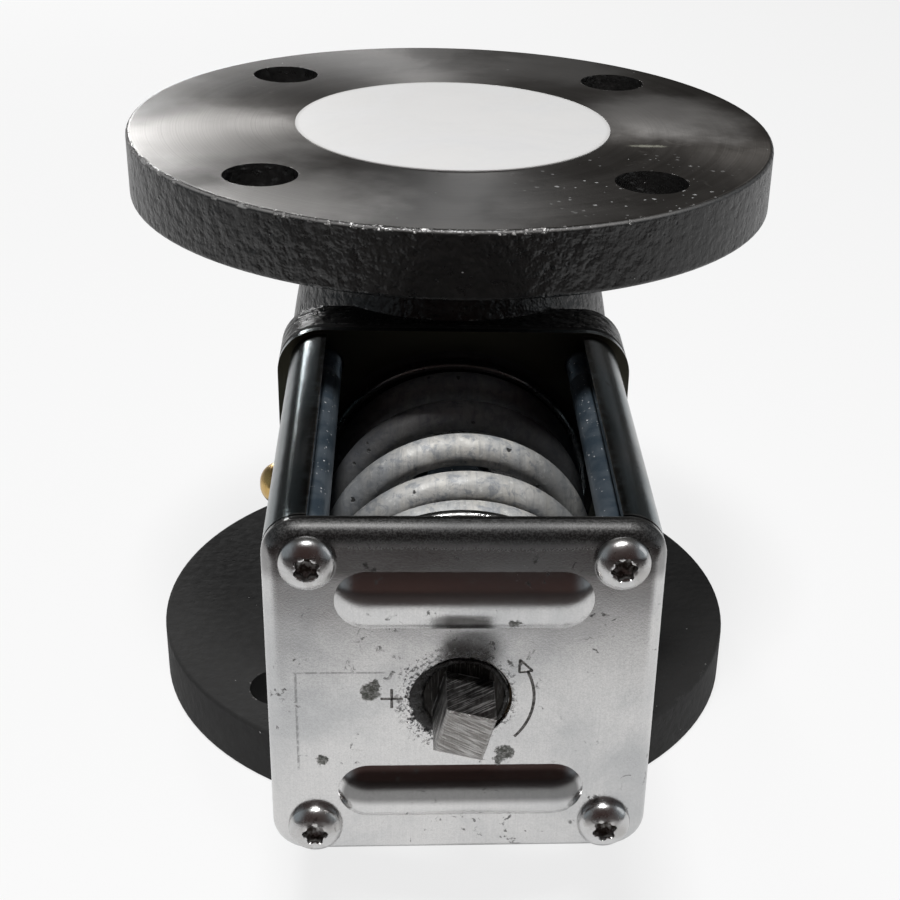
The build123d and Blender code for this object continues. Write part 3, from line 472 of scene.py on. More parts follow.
def screw_grease(tree, stem, rim, flecks):
    """Black grease round the adjusting screw, whole close to it and in flecks further out."""
    reach = plus(tree, rim, -0.0085, stem["Radius"])
    reach = plus(tree, cloud(tree, 170, 3), -0.004, reach)
    reach = plus(tree, stem["Side"], 0.12, reach)
    near = between_mm(tree, reach, 4.0, 7.4, 1.0, 0.0)
    near = times(tree, near, between_mm(tree, stem["Front"], 150.0, 150.5))
    whole = between_mm(tree, reach, 4.6, 3.8)
    return times(tree, near, most(tree, whole, between(tree, flecks, 0.54, 0.57)))


# Dried spots on the front plate: x, height over the stem's axis and size, in mm
PLATE_SPOTS = (
    (-20.7, 1.8, 2.1),
    (-19.6, 3.6, 1.2),
    (10.9, 20.9, 1.7),
    (9.8, -15.0, 1.9),
    (8.6, -17.0, 1.3),
    (-31.7, -16.8, 1.2),
)


def dried_spots(tree, rim, flecks):
    spots = 0.0
    for x, up, size in PLATE_SPOTS:
        away = plus(tree, rim, -0.004, away_from(tree, x * MM, CAGE_FRONT, AXIS_Z + up * MM))
        spots = most(tree, spots, between_mm(tree, away, size - 1.6, size - 2.2))
    return times(tree, spots, between(tree, flecks, 0.35, 0.6, 0.45, 0.95))


def residue_lines(tree, stem, rim):
    """Two faint lines of residue that meet at a corner on the plate."""
    left = times(tree, between_mm(tree, off_by(tree, stem["Side"], -37.0 * MM), 0.4, 0.15),
                 between_mm(tree, off_by(tree, stem["Up"], -6.0 * MM), 14.0, 12.5))
    upper = times(tree, between_mm(tree, off_by(tree, stem["Up"], 7.0 * MM), 0.35, 0.1),
                  between_mm(tree, off_by(tree, stem["Side"], -27.3 * MM), 10.7, 9.0))
    lines = times(tree, most(tree, left, upper), between_mm(tree, stem["Front"], 153.0, 153.4))
    return times(tree, lines, between(tree, rim, 0.4, 0.55, 0.1, 0.6))


def zinc_sheet():
    """Bright zinc-plated sheet: faint drawing lines, grey bloom, splashes, grease by the adjusting screw,
    with painted shade and painted highlights where the light falls.
    """
    made, tree, shader = start_finish("zinc_plated_sheet", Metallic=1.0)
    stem = place_effect(tree, ALONG_STEM)
    lines = drawn_lines(tree, (4200.0, 60.0, 70.0))
    fine = cloud(tree, 2600, 3, 0.6)
    bloom = stains(tree, 34.0, 0.48)
    marks = stains(tree, 75.0)
    dots = specks(tree, 260.0, 0.05, 0.16)
    edge = place_effect(tree, WORN_EDGE, Width=0.7 * MM, Breaks=0.4, Scale=260.0)
    rim = cloud(tree, 620, 8, 0.75, 0.3)
    flecks = cloud(tree, 1300, 5, 0.75)

    walls = between_mm(tree, stem["Front"], 150.5, 147.0)
    tint = times(tree, walls, between(tree, cloud(tree, 30, 3), 0.35, 0.6, 0.3, 0.75))
    # The left wall is painted darker and teal: painted shade on that side of the cage.
    shaded_left_wall = times(tree, walls, between_mm(tree, stem["Side"], -34.0, -40.0))
    # Sheet edges are painted pale and made less metallic: edge wear together with a painted highlight.
    bright = times(tree, edge["Edge"], between(tree, cloud(tree, 210, 4), 0.38, 0.55, 0.3, 0.85))
    # The bend along the plate's top is painted dark grey: painted shade over the highlight it would catch.
    shaded_bend = between_mm(tree, stem["Up"], 37.5, 41.0)
    shaded_bend = times(tree, shaded_bend, between_mm(tree, stem["Front"], 150.0, 150.8))
    # The rear flange's face inside the cage is painted nearly black: painted shade.
    shaded_back_wall = between(tree, facing(tree)["Y"], -0.3, -0.7)
    shaded_back_wall = times(tree, between_mm(tree, stem["Front"], 58, 52), shaded_back_wall)
    grease = screw_grease(tree, stem, rim, flecks)
    spots = dried_spots(tree, rim, flecks)
    colour = layered(
        tree, mixed(tree, bloom["Cloud"], grey(0.70, 0.01), grey(0.55, -0.01)),
        (between(tree, fine, 0.35, 0.7, 0.0, 0.25), grey(0.42)),
        (between(tree, lines, 0.4, 0.7, 0.0, 0.2), grey(0.5)),
        (tint, tone(0.30, 0.42, 0.47)),
        (times(tree, marks["Splash"], 0.8), grey(0.035, 0.08)),
        (times(tree, dots, 0.8), grey(0.07, 0.08)),
        (bright, grey(0.85)),
        (times(tree, edge["Wear"], 0.6), tone(0.10, 0.07, 0.045)),
        (times(tree, shaded_left_wall, 0.75), tone(0.09, 0.14, 0.155)),
        # Painted shade and the screw's painted reflection on the front plate
        (painted_sheet_shade(tree, stem), grey(0.045, 0.02)),
        (times(tree, shaded_bend, between(tree, fine, 0.44, 0.60, 0.9, 0.66)), grey(0.025, 0.02)),
        (times(tree, shaded_back_wall, 0.95), tone(0.035, 0.031, 0.02)),
        (times(tree, window_lip(tree, stem, walls), 0.85), tone(0.045, 0.036, 0.026)),
        (spots, tone(0.045, 0.05, 0.035)),
        (residue_lines(tree, stem, rim), grey(0.16)),
        (grease, grey(0.006, 0.05)),
    )
    feed(tree, shader.inputs["Base Color"], colour)
    greasy = most(tree, grease, spots)
    dull = most(tree, greasy, times(tree, marks["Splash"], 0.15), times(tree, bright, 0.3))
    feed(tree, shader.inputs["Metallic"], calc(tree, "SUBTRACT", 1.0, dull))

    rough = between(tree, fine, 0.2, 0.8, 0.12, 0.22)
    rough = plus(tree, bloom["Cloud"], 0.06, rough)
    rough = plus(tree, shaded_back_wall, 0.2, rough)
    rough = plus(tree, shaded_bend, between(tree, fine, 0.3, 0.7, 0.26, 0.40), rough)
    rough = plus(tree, greasy, 0.4, rough)
    rough = plus(tree, marks["Splash"], 0.06, rough)
    feed(tree, shader.inputs["Roughness"], rough)
    height = plus(tree, lines, 0.04, times(tree, fine, 0.07))
    height = plus(tree, grease, 1.2, plus(tree, cloud(tree, 45, 2), 1.0, height))
    bumped(tree, shader, height, 0.22 * MM, 0.8)
    return made


def plated_screw():
    """Shiny zinc screws, dirty in their recesses, with white specks on the shanks."""
    made, tree, shader = start_finish("bright_zinc_screw", Metallic=1.0)
    stem = place_effect(tree, ALONG_STEM)
    head = between_mm(tree, stem["Front"], 153.0, 154.0)
    bloom = stains(tree, 120.0)
    dots = specks(tree, 900.0, 0.5, 0.16)
    shank = mixed(tree, bloom["Cloud"], tone(0.06, 0.085, 0.11), tone(0.12, 0.145, 0.17))
    shank = mixed(tree, dots, shank, grey(0.75))
    bright = mixed(tree, bloom["Cloud"], grey(0.62, 0.0), grey(0.5, 0.02))
    bright = mixed(tree, times(tree, bloom["Splash"], 0.6), bright, grey(0.1, 0.1))
    across = calc(tree, "SUBTRACT", calc(tree, "ABSOLUTE", stem["Side"]), SCREW_X)
    along = calc(tree, "SUBTRACT", calc(tree, "ABSOLUTE", stem["Up"]), SCREW_Z)
    inside = between_mm(tree, diagonal(tree, across, along), 2.4, 3.1, 1.0, 0.0)
    deep = times(tree, inside, between_mm(tree, stem["Front"], 157.0, 155.8))
    pit = times(tree, deep, head, between(tree, cloud(tree, 900, 3), 0.35, 0.6, 0.15, 0.95))
    colour = mixed(tree, pit, mixed(tree, head, shank, bright), tone(0.05, 0.032, 0.02))
    feed(tree, shader.inputs["Base Color"], colour)
    white = times(tree, dots, calc(tree, "SUBTRACT", 1.0, head))
    dull = most(tree, times(tree, pit, 0.7), white, between(tree, head, 0.0, 1.0, 0.5, 0.0))
    feed(tree, shader.inputs["Metallic"], calc(tree, "SUBTRACT", 1.0, dull))
    rough = plus(tree, bloom["Cloud"], 0.12, 0.2)
    rough = calc(tree, "ADD", rough, between(tree, head, 0.0, 1.0, 0.14, 0.0))
    feed(tree, shader.inputs["Roughness"], plus(tree, pit, 0.4, rough))
    bumped(tree, shader, cloud(tree, 1300, 3), 0.06 * MM, 0.6)
    return made


def coated_spring():
    """Light grey coating on the spring wire, scuffed to dark along it and chipped in places, with painted
    shade on the coils' sides and the flange's painted shadow on the rear coils.
    """
    made, tree, shader = start_finish("grey_coated_spring")
    stem = place_effect(tree, ALONG_STEM)
    scuffs = stains(tree, 160.0, 0.48)
    broad = cloud(tree, 55, 4, 0.6)
    bands = drawn_lines(tree, (190.0, 40.0, 30.0))
    fine_bands = drawn_lines(tree, (900.0, 90.0, 60.0))
    chips = specks(tree, 260.0, 0.3, 0.2)
    mottle = cloud(tree, 330, 6, 0.7, 0.5)
    sideways = calc(tree, "ABSOLUTE", stem["Side"])
    colour = layered(
        tree, mixed(tree, between(tree, broad, 0.3, 0.7), tone(0.47, 0.475, 0.47), tone(0.68, 0.67, 0.64)),
        (between(tree, bands, 0.42, 0.6, 0.0, 0.3), tone(0.62, 0.58, 0.5)),
        (between(tree, bands, 0.46, 0.34, 0.0, 0.35), tone(0.4, 0.43, 0.47)),
        (between(tree, fine_bands, 0.5, 0.68, 0.0, 0.4), tone(0.26, 0.27, 0.28)),
        (times(tree, scuffs["Cloud"], 0.3), tone(0.22, 0.25, 0.29)),
        (between(tree, mottle, 0.5, 0.62, 0.0, 0.7), tone(0.24, 0.26, 0.29)),
        (between(tree, mottle, 0.44, 0.34, 0.0, 0.6), tone(0.82, 0.82, 0.79)),
        # Coils painted darker towards their sides: painted shade where they turn from the light.
        (between_mm(tree, sideways, 10, 25, 0.0, 0.62), tone(0.09, 0.095, 0.1)),
        # Rear coils painted nearly black: the flange's painted shadow.
        (between_mm(tree, stem["Front"], 86, 76, 0.0, 0.8), tone(0.035, 0.036, 0.042)),
        (times(tree, scuffs["Splash"], 0.55), tone(0.1, 0.11, 0.13)),
        (chips, grey(0.035)),
    )
    feed(tree, shader.inputs["Base Color"], colour)
    feed(tree, shader.inputs["Metallic"], between(tree, broad, 0.3, 0.7, 0.1, 0.2))
    feed(tree, shader.inputs["Roughness"], between(tree, cloud(tree, 420, 4), 0.25, 0.75, 0.46, 0.7))
    bumped(tree, shader, plus(tree, chips, -1.0, cloud(tree, 520, 4, 0.6)), 0.25 * MM, 0.7)
    return made


def turned_metal(name, pale, deep, rough, stretch=(900.0, 9000.0, 900.0), metallic=1.0, dirt=0.4):
    """Turned or plated metal with lathe lines round the stem, tarnish and some dirt."""
    made, tree, shader = start_finish(name)
    lines = drawn_lines(tree, stretch)
    tarnish = stains(tree, 90.0)
    colour = layered(
        tree, mixed(tree, tarnish["Cloud"], pale, deep),
        (between(tree, lines, 0.35, 0.7, 0.0, 0.3), deep),
        (times(tree, tarnish["Splash"], dirt), grey(0.03, 0.1)),
    )
    feed(tree, shader.inputs["Base Color"], colour)
    bare = between(tree, tarnish["Splash"], 0.0, 1.0, metallic, metallic * 0.6)
    feed(tree, shader.inputs["Metallic"], bare)
    feed(tree, shader.inputs["Roughness"], between(tree, tarnish["Cloud"], 0.0, 1.0, rough, rough + 0.14))
    bumped(tree, shader, lines, 0.08 * MM, 0.6)
    return made


def sawn_steel():
    """Bare steel of the adjusting screw: drawn flats, coarse saw marks on the end, oily dirt at the root."""
    made, tree, shader = start_finish("bare_drawn_steel", Metallic=1.0)
    stem = place_effect(tree, ALONG_STEM)
    end = between_mm(tree, stem["Front"], 167.2, 167.8)
    along = drawn_lines(tree, (1500.0, 130.0, 1500.0))
    across = drawn_lines(tree, (170.0, 60.0, 2300.0), -0.5, 1)
    cut = between(tree, across, 0.38, 0.62)
    scratch = between(tree, drawn_lines(tree, (3600.0, 110.0, 160.0), 0.75), 0.54, 0.6)
    oil = cloud(tree, 260, 4, 0.6)
    oily = between_mm(tree, plus(tree, oil, 0.008, stem["Front"]), 160.5, 158.5)
    edge = place_effect(tree, WORN_EDGE, Width=0.4 * MM, Breaks=0.3, Scale=500.0)
    side = mixed(tree, between(tree, along, 0.3, 0.7), grey(0.09, 0.04), grey(0.19, 0.03))
    side = mixed(tree, times(tree, scratch, 0.9), side, grey(0.75, 0.02))
    colour = layered(
        tree, mixed(tree, end, side, mixed(tree, cut, grey(0.3, 0.05), grey(0.62, 0.02))),
        (times(tree, oily, 0.92), grey(0.012, 0.1)),
        (times(tree, edge["Wear"], 0.5), grey(0.7)),
    )
    feed(tree, shader.inputs["Base Color"], colour)
    feed(tree, shader.inputs["Roughness"], between(tree, oil, 0.3, 0.7, 0.3, 0.46))
    bumped(tree, shader, plus(tree, scratch, -0.5, times(tree, cut, end)), 0.12 * MM, 0.8)
    return made


def black_rubber():
    """Moulded black rubber with a fabric-like grain."""
    made, tree, shader = start_finish("black_moulded_rubber", Specular_IOR_Level=0.35)
    grain = cloud(tree, 1500, 4, 0.6)
    colour = mixed(tree, between(tree, grain, 0.3, 0.7), grey(0.012), grey(0.026))
    colour = mixed(tree, times(tree, stains(tree, 70.0)["Cloud"], 0.3), colour, grey(0.06, 0.03))
    feed(tree, shader.inputs["Base Color"], colour)
    feed(tree, shader.inputs["Roughness"], between(tree, grain, 0.3, 0.7, 0.55, 0.75))
    bumped(tree, shader, grain, 0.1 * MM, 0.6)
    return made


def label_film():
    """White vinyl of the protective label, slightly glossy, with finger marks and a greyed rim."""
    made, tree, shader = start_finish("white_label_film", Coat_Weight=0.25, Coat_Roughness=0.25)
    part = split(tree, object_point(tree))
    smear_and_highlight = stains(tree, 30.0, 0.45)["Cloud"]
    fibre = cloud(tree, 1600, 4, 0.6)
    radius = diagonal(tree, part["X"], part["Y"])
    colour = layered(
        tree, mixed(tree, smear_and_highlight, tone(0.82, 0.815, 0.805), tone(0.72, 0.72, 0.72)),
        (between(tree, fibre, 0.3, 0.7, 0.0, 0.15), grey(0.74)),
        (between_mm(tree, radius, 42.2, 43.6, 0.0, 0.4), grey(0.45, 0.03)),
    )
    feed(tree, shader.inputs["Base Color"], colour)
    feed(tree, shader.inputs["Roughness"], between(tree, smear_and_highlight, 0.0, 1.0, 0.38, 0.55))
    bumped(tree, shader, calc(tree, "ADD", cloud(tree, 90, 3), times(tree, fibre, 0.15)), 0.3 * MM, 0.35)
    return made


def struck_mark():
    """Bottom of a mark struck into the sheet: dark, with burnished high spots."""
    made, tree, shader = start_finish("struck_mark", Metallic=0.9)
    grain = cloud(tree, 1800, 3, 0.6)
    colour = mixed(tree, between(tree, grain, 0.4, 0.65), grey(0.07, 0.05), grey(0.26, 0.03))
    feed(tree, shader.inputs["Base Color"], colour)
    feed(tree, shader.inputs["Roughness"], between(tree, grain, 0.3, 0.7, 0.35, 0.6))
    bumped(tree, shader, grain, 0.08 * MM, 0.6)
    return made


def thick_grease():
    """Old black grease, wet in places and dusty in others."""
    made, tree, shader = start_finish("black_grease")
    grain = cloud(tree, 900, 5, 0.65)
    colour = mixed(tree, between(tree, grain, 0.45, 0.7), grey(0.005, 0.1), grey(0.016, 0.12))
    feed(tree, shader.inputs["Base Color"], colour)
    feed(tree, shader.inputs["Roughness"], between(tree, grain, 0.35, 0.65, 0.16, 0.55))
    bumped(tree, shader, grain, 0.6 * MM, 0.8)
    return made


CASTING = painted_casting()
SHEET = zinc_sheet()
SCREW = plated_screw()
SPRING = coated_spring()
STEEL = sawn_steel()
RUBBER = black_rubber()
LABEL = label_film()
MARK = struck_mark()
GREASE = thick_grease()
GREASED_BRASS = turned_metal("greased_brass", tone(0.12, 0.085, 0.045), tone(0.04, 0.032, 0.022), 0.3)
BRASS = turned_metal("tarnished_brass", tone(0.72, 0.5, 0.2), tone(0.42, 0.27, 0.1), 0.22)
BRONZE = turned_metal("turned_bronze", tone(0.5, 0.33, 0.17), tone(0.32, 0.19, 0.09), 0.3)
PLATE = turned_metal("dark_plated_steel", grey(0.4, 0.0), grey(0.2, 0.02), 0.2, dirt=0.7)
STEM = turned_metal("ground_stainless_steel", grey(0.56), grey(0.42), 0.18, dirt=0.2)
FIBRE = (grey(0.07, 0.05), grey(0.03, 0.05))
GASKET = turned_metal("pressed_fibre_gasket", *FIBRE, 0.7, (600.0, 600.0, 600.0), 0.0)

FINISHES = (
    (CASTING, ("valve_body", "guide_plate")),
    (SHEET, ("cage", "bellows_cup")),
    (SCREW, ("cage_screws", "cup_screws", "lower_plate_nut")),
    (SPRING, ("range_spring",)),
    (PLATE, ("lower_spring_plate", "upper_spring_plate")),
    (STEEL, ("adjusting_screw",)),
    (RUBBER, ("front_diaphragm", "rear_diaphragm", "valve_disc", "stem_seal", "vent_plug_washer")),
    (GASKET, ("cup_gasket",)),
    (BRONZE, ("seat_ring", "disc_holder", "disc_retainer", "disc_nut", "guide_bush")),
    (BRONZE, ("front_diaphragm_washer", "rear_diaphragm_washer", "rear_clamp_washer")),
    (STEM, ("valve_stem",)),
    (GREASED_BRASS, ("thrust_washer",)),
    (BRASS, ("plate_nut", "bellows_ring", "bellows", "bellows_cap", "flare_connector", "vent_plug")),
    (LABEL, ("protective_label",)),
)

for finish, node_names in FINISHES:
    for node_name in node_names:
        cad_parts[node_name].data.materials.clear()
        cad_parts[node_name].data.materials.append(finish)


# Helpers for the new pieces' meshes


def build(name, points, faces, finish, normals=None):
    """A mesh piece, smooth over its gentle edges and sharp over its steep ones."""
    mesh = bpy.data.meshes.new(name)
    mesh.from_pydata([tuple(p) for p in points], [], faces)
    mesh.materials.append(finish)
    for polygon in mesh.polygons:
        polygon.use_smooth = True
    piece = bpy.data.objects.new(name, mesh)
    bpy.context.scene.collection.objects.link(piece)
    if normals is not None:
        mesh.normals_split_custom_set_from_vertices([tuple(n) for n in normals])
    else:
        mesh.set_sharp_from_angle(angle=math.radians(38))
    return piece


def ring_faces(rows, count, wrapped=False):
    """Quads that join rows of points, each row a ring; wrapped also joins the last row to the first."""
    faces = []
    for row in range(rows if wrapped else rows - 1):
        after = (row + 1) % rows
        for k in range(count):
            beside = (k + 1) % count
            faces.append((row * count + k, row * count + beside, after * count + beside, after * count + k))
    return faces


def capped_faces(rows, count):
    """The same with a flat face over the first ring and over the last."""
    last = (rows - 1) * count
    caps = [tuple(reversed(range(count))), tuple(last + k for k in range(count))]
    return ring_faces(rows, count) + caps


def add_shape(points, faces, more_points, more_faces):
    """Adds another shape's points and faces to the lists."""
    faces += [tuple(i + len(points) for i in face) for face in more_faces]
    points += more_points


def stem_point(radius, angle, y):
    """A point at this distance from the stem's axis; the angle runs from straight up towards -X."""
    return Vector((-radius * math.sin(angle), y, AXIS_Z + radius * math.cos(angle)))


def turned_piece(name, profile, finish, shape, first_angle=0.0, count=96):
    """A piece turned about the stem's axis from a profile of (y, radius), cut by the shape at each angle."""
    points = []
    for y, radius in profile:
        for k in range(count):
            angle = first_angle + TURN * k / count
            moved_y, moved_radius = shape(y, radius, angle)
            points.append(stem_point(moved_radius, angle, moved_y))
    return build(name, points, capped_faces(len(profile), count), finish)


# Range spring: round wire that closes at both ends, ground flat where it meets the plates

COIL_RADIUS = 31.0 * MM
WIRE_RADIUS = 4.0 * MM
GROUND_BACK = -50.15 * MM
GROUND_FRONT = -129.55 * MM

# Where the wire's centre lies: the count of turns, and y in mm
COIL_STATIONS = [
    (-0.5, -52.5), (0.0, -54.3), (1.0, -72.0), (2.0, -91.5), (3.0, -111.6), (4.0, -126.1), (4.4, -127.2),
]
FIRST_TURN = COIL_STATIONS[0][0]
LAST_TURN = COIL_STATIONS[-1][0]
END_SLOPE = 0.4


def smooth_through(stations, at):
    """A smooth rising or falling line through the stations."""
    xs = [s[0] for s in stations]
    ys = [s[1] for s in stations]
    slopes = []
    for k in range(len(xs)):
        low, high = max(k - 1, 0), min(k + 1, len(xs) - 1)
        slopes.append((ys[high] - ys[low]) / (xs[high] - xs[low]))
    slopes[0] *= END_SLOPE
    slopes[-1] *= END_SLOPE
    k = max(i for i in range(len(xs) - 1) if xs[i] <= at or i == 0)
    span = xs[k + 1] - xs[k]
    t = (at - xs[k]) / span
    return (
        ys[k] * (2 * t**3 - 3 * t**2 + 1)
        + ys[k + 1] * (-2 * t**3 + 3 * t**2)
        + slopes[k] * span * (t**3 - 2 * t**2 + t)
        + slopes[k + 1] * span * (t**3 - t**2)
    )


def wire_centre(turn):
    return stem_point(COIL_RADIUS, TURN * turn, smooth_through(COIL_STATIONS, turn) * MM)


def wire_ring(turn, around):
    """Points round the wire at this turn, ground flat at the spring's ends, and the way each one faces."""
    centre = wire_centre(turn)
    before, after = wire_centre(max(turn - 0.002, FIRST_TURN)), wire_centre(min(turn + 0.002, LAST_TURN))
    along = (after - before).normalized()
    outward = (centre - Vector((0, centre.y, AXIS_Z))).normalized()
    across = along.cross(outward).normalized()
    outward = across.cross(along).normalized()
    points, normals = [], []
    for j in range(around):
        angle = TURN * j / around
        direction = outward * math.cos(angle) + across * math.sin(angle)
        point = centre + direction * WIRE_RADIUS
        if not GROUND_FRONT < point.y < GROUND_BACK:
            point.y = min(max(point.y, GROUND_FRONT), GROUND_BACK)
            direction = Vector((0, math.copysign(1, direction.y), 0))
        points.append(point)
        normals.append(direction)
    return points, normals


def wire_piece(name, first, last, steps, around=24):
    """A stretch of the spring's wire between two turn counts, closed at both ends."""
    points, normals = [], []
    for k in range(steps + 1):
        ring_points, ring_normals = wire_ring(first + (last - first) * k / steps, around)
        points += ring_points
        normals += ring_normals
    faces = ring_faces(steps + 1, around)
    for end, inward, row, order in ((first, 0.01, 0, -1), (last, -0.01, steps, 1)):
        facing_out = (wire_centre(end) - wire_centre(end + inward)).normalized()
        ring = range(len(points), len(points) + around)
        points += [point.copy() for point in points[row * around:(row + 1) * around]]
        normals += [facing_out] * around
        faces.append(tuple(ring[::order]))
    return build(name, points, faces, SPRING, normals)


# How much of the motion each turn takes: of the stem's lift at the rear, of the plate's travel in front
STILL_TURN = 1.5
LIFT_SHARE = [(FIRST_TURN, 1.0), (0.0, 1.0), (0.5, 0.72), (1.0, 0.35), (STILL_TURN, 0.0)]
TRAVEL_SHARE = [(STILL_TURN, 0.0), (2.0, 0.2), (3.0, 0.62), (4.0, 0.96), (LAST_TURN, 1.0)]
WIRE_PIECES = 20
STEPS_PER_TURN = 88


def share_at(table, turn):
    return float(np.interp(turn, [t for t, _ in table], [s for _, s in table]))


def eased_back(share):
    """The place between a blend's ends at which the blend gives this share."""
    low, high = 0.0, 1.0
    for _ in range(40):
        middle = (low + high) / 2
        if middle * middle * (3 - 2 * middle) < share:
            low = middle
        else:
            high = middle
    return (low + high) / 2


def share_out(piece, first, last, table, body):
    """Attaches a stretch whose two ends take the same share to the body when that share is full and to the
    root when it is none; any other stretch is only baked in place.
    """
    start, end = wire_centre(first), wire_centre(last)
    at_start, at_end = eased_back(share_at(table, first)), eased_back(share_at(table, last))
    if abs(at_end - at_start) < 1e-4:
        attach(piece, body if at_start > 0.5 else "root")
        return
    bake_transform(piece)


def make_spring():
    """The wire in quarter turns, so that each one keeps its round section when the coils close up."""
    cuts = [FIRST_TURN + 0.25 * k for k in range(WIRE_PIECES)] + [LAST_TURN]
    for k, (first, last) in enumerate(zip(cuts, cuts[1:])):
        steps = max(4, round(STEPS_PER_TURN * (last - first)))
        piece = wire_piece(f"range_spring_wire_{k + 1:02d}", first, last, steps)
        if last <= STILL_TURN:
            share_out(piece, first, last, LIFT_SHARE, "stem_assembly")
        else:
            share_out(piece, first, last, TRAVEL_SHARE, "upper_plate")
        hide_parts("range_spring")


make_spring()


# Cage screws: domed heads with six-lobe recesses on long shanks

SHANK_RADIUS = 3.75 * MM
SCREW_END = -35.8 * MM
SCREW_PITCH = 1.25 * MM
SCREW_THREAD_DEPTH = 0.55 * MM
LOBE_DEPTH = 0.135
SCREW_TURNS = (0.1, 0.32, 0.55, 0.2)


def head_rings():
    """From the bottom of the recess over the dome to the plate, as (radius, height, share of the lobes)."""
    rings = [(0.5, 1.0, 0), (1.3, 1.2, 0.6), (2.0, 1.4, 1), (2.4, 1.6, 1), (2.5, 2.9, 1), (2.56, 3.6, 1)]
    for k in range(15):
        radius = 2.8 + (6.12 - 2.8) * (k / 14) ** 0.8
        height = 0.75 + 3.25 * math.sqrt(max(0.0, 1 - ((radius - 0.2) / 6.02) ** 2.3))
        rings.append((radius, min(height, 3.92), 0.45 if k == 0 else 0))
    rings += [(6.25, 0.62, 0), (6.25, 0.12, 0), (6.05, 0.0, 0), (4.0, 0.0, 0)]
    return [(radius * MM, height * MM, lobed) for radius, height, lobed in rings]


def shank_rings():
    """From the plate to the screw's tip; the thread's rings have no lobes of their own."""
    length = SCREW_END - CAGE_FRONT
    steps = int(25 * MM / SCREW_PITCH) * 8
    rings = [(SHANK_RADIUS, -0.02 * MM, 0), (SHANK_RADIUS, -(length - 27 * MM), 0)]
    rings += [(SHANK_RADIUS, -(length - 26.5 * MM) - 25.5 * MM * k / steps, None) for k in range(steps + 1)]
    return rings + [(SHANK_RADIUS - 0.9 * MM, -length, 0)]


def screw_mesh(centre_x, centre_z, turn, count=96):
    """One screw, from the bottom of its recess over the dome and down the shank."""
    points = []
    rings = head_rings() + shank_rings()
    for ring_radius, height, lobed in rings:
        for k in range(count):
            angle = TURN * k / count
            if lobed is None:
                wave = (-height / SCREW_PITCH - angle / TURN) % 1.0
                radius = ring_radius - SCREW_THREAD_DEPTH * abs(2 * wave - 1)
            else:
                radius = ring_radius * (1 + LOBE_DEPTH * math.cos(6 * (angle + turn)) * lobed)
            x = centre_x - radius * math.sin(angle)
            points.append(Vector((x, CAGE_FRONT - height, AXIS_Z + centre_z + radius * math.cos(angle))))
    return points, capped_faces(len(rings), count)


def make_cage_screws():
    points, faces = [], []
    corners = ((-SCREW_X, SCREW_Z), (SCREW_X, SCREW_Z), (-SCREW_X, -SCREW_Z), (SCREW_X, -SCREW_Z))
    for (x, z), turn in zip(corners, SCREW_TURNS):
        add_shape(points, faces, *screw_mesh(x, z, turn))
    piece = build("cage_screws_six_lobe", points, faces, SCREW)
    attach(piece, "root")
    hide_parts("cage_screws")


make_cage_screws()


# Bellows: thin-walled folds, baked in place; in the valve they close up as the cap pushes the stem forward

FOLD_CREST = 28.0 * MM
FOLD_ROOT = 22.3 * MM
FOLD_WALL = 0.8 * MM
FOLD_COUNT = 6


def make_bellows():
    low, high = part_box("bellows")
    back, front = Vector(low).y, Vector(high).y
    rows = 12 * FOLD_COUNT
    outside, inside = [], []
    for k in range(rows + 1):
        wave = -math.cos(TURN * k / rows * FOLD_COUNT)
        wave = 0.5 + 0.5 * math.copysign(abs(wave) ** 0.8, wave)
        radius = FOLD_ROOT + (FOLD_CREST - FOLD_ROOT) * wave
        y = back + (front - back) * k / rows
        outside.append((y, radius))
        inside.append((y, radius - FOLD_WALL))
    rings = outside + inside[::-1]
    count = 96
    points = [stem_point(radius, TURN * k / count, y) for y, radius in rings for k in range(count)]
    piece = build("bellows_folds", points, ring_faces(len(rings), count, wrapped=True), BRASS)
    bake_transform(piece)
    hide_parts("bellows")


make_bellows()


# Protective label: thin film that does not lie quite flat

LABEL_RADIUS = 43.6 * MM
LABEL_THICK = 0.3 * MM
LABEL_WAVE = 0.07 * MM


def make_label():
    rings, count = 40, 144
    points = []
    for row in range(1, rings + 1):
        radius = LABEL_RADIUS * row / rings
        for k in range(count):
            angle = TURN * k / count
            x, y = radius * math.cos(angle), radius * math.sin(angle)
            wave = noise.noise(Vector((x * 55, y * 55, 3.1))) * LABEL_WAVE
            points.append(Vector((x, y, TOP_FACE + LABEL_THICK + wave)))
    for point in points[-count:]:
        points.append(Vector((point.x, point.y, TOP_FACE + 0.02 * MM)))
    faces = [tuple(reversed(face)) for face in capped_faces(rings + 1, count)]
    piece = build("label_film_disc", points, faces, LABEL)
    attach(piece, "label")
    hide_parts("protective_label")


make_label()


# Turn arrow and plus sign struck into the cage's plate

MARK_WIDTH = 0.5 * MM
MARK_PROUD = 0.1 * MM
MARK_SUNK = -0.05 * MM
ARROW_RADIUS = 15.9 * MM
ARROW_HEAD = [(12.4, 10.3), (12.35, 6.9), (15.3, 7.3), (12.4, 10.3)]
PLUS_X = -15.9 * MM
PLUS_ARM = 2.5 * MM


def strip(line, width):
    """A thin raised strip on the plate along a line of (x, z), as points and faces."""
    points = []
    for k, (x, z) in enumerate(line):
        ahead, behind = line[min(k + 1, len(line) - 1)], line[max(k - 1, 0)]
        along = Vector((ahead[0] - behind[0], ahead[1] - behind[1])).normalized()
        for side, proud in ((-0.5, MARK_SUNK), (-0.32, MARK_PROUD), (0.32, MARK_PROUD), (0.5, MARK_SUNK)):
            off = side * width
            points.append(Vector((x - along.y * off, CAGE_FRONT - proud, AXIS_Z + z + along.x * off)))
    last = (len(line) - 1) * 4
    return points, ring_faces(len(line), 4) + [(0, 1, 2, 3), (last + 3, last + 2, last + 1, last)]


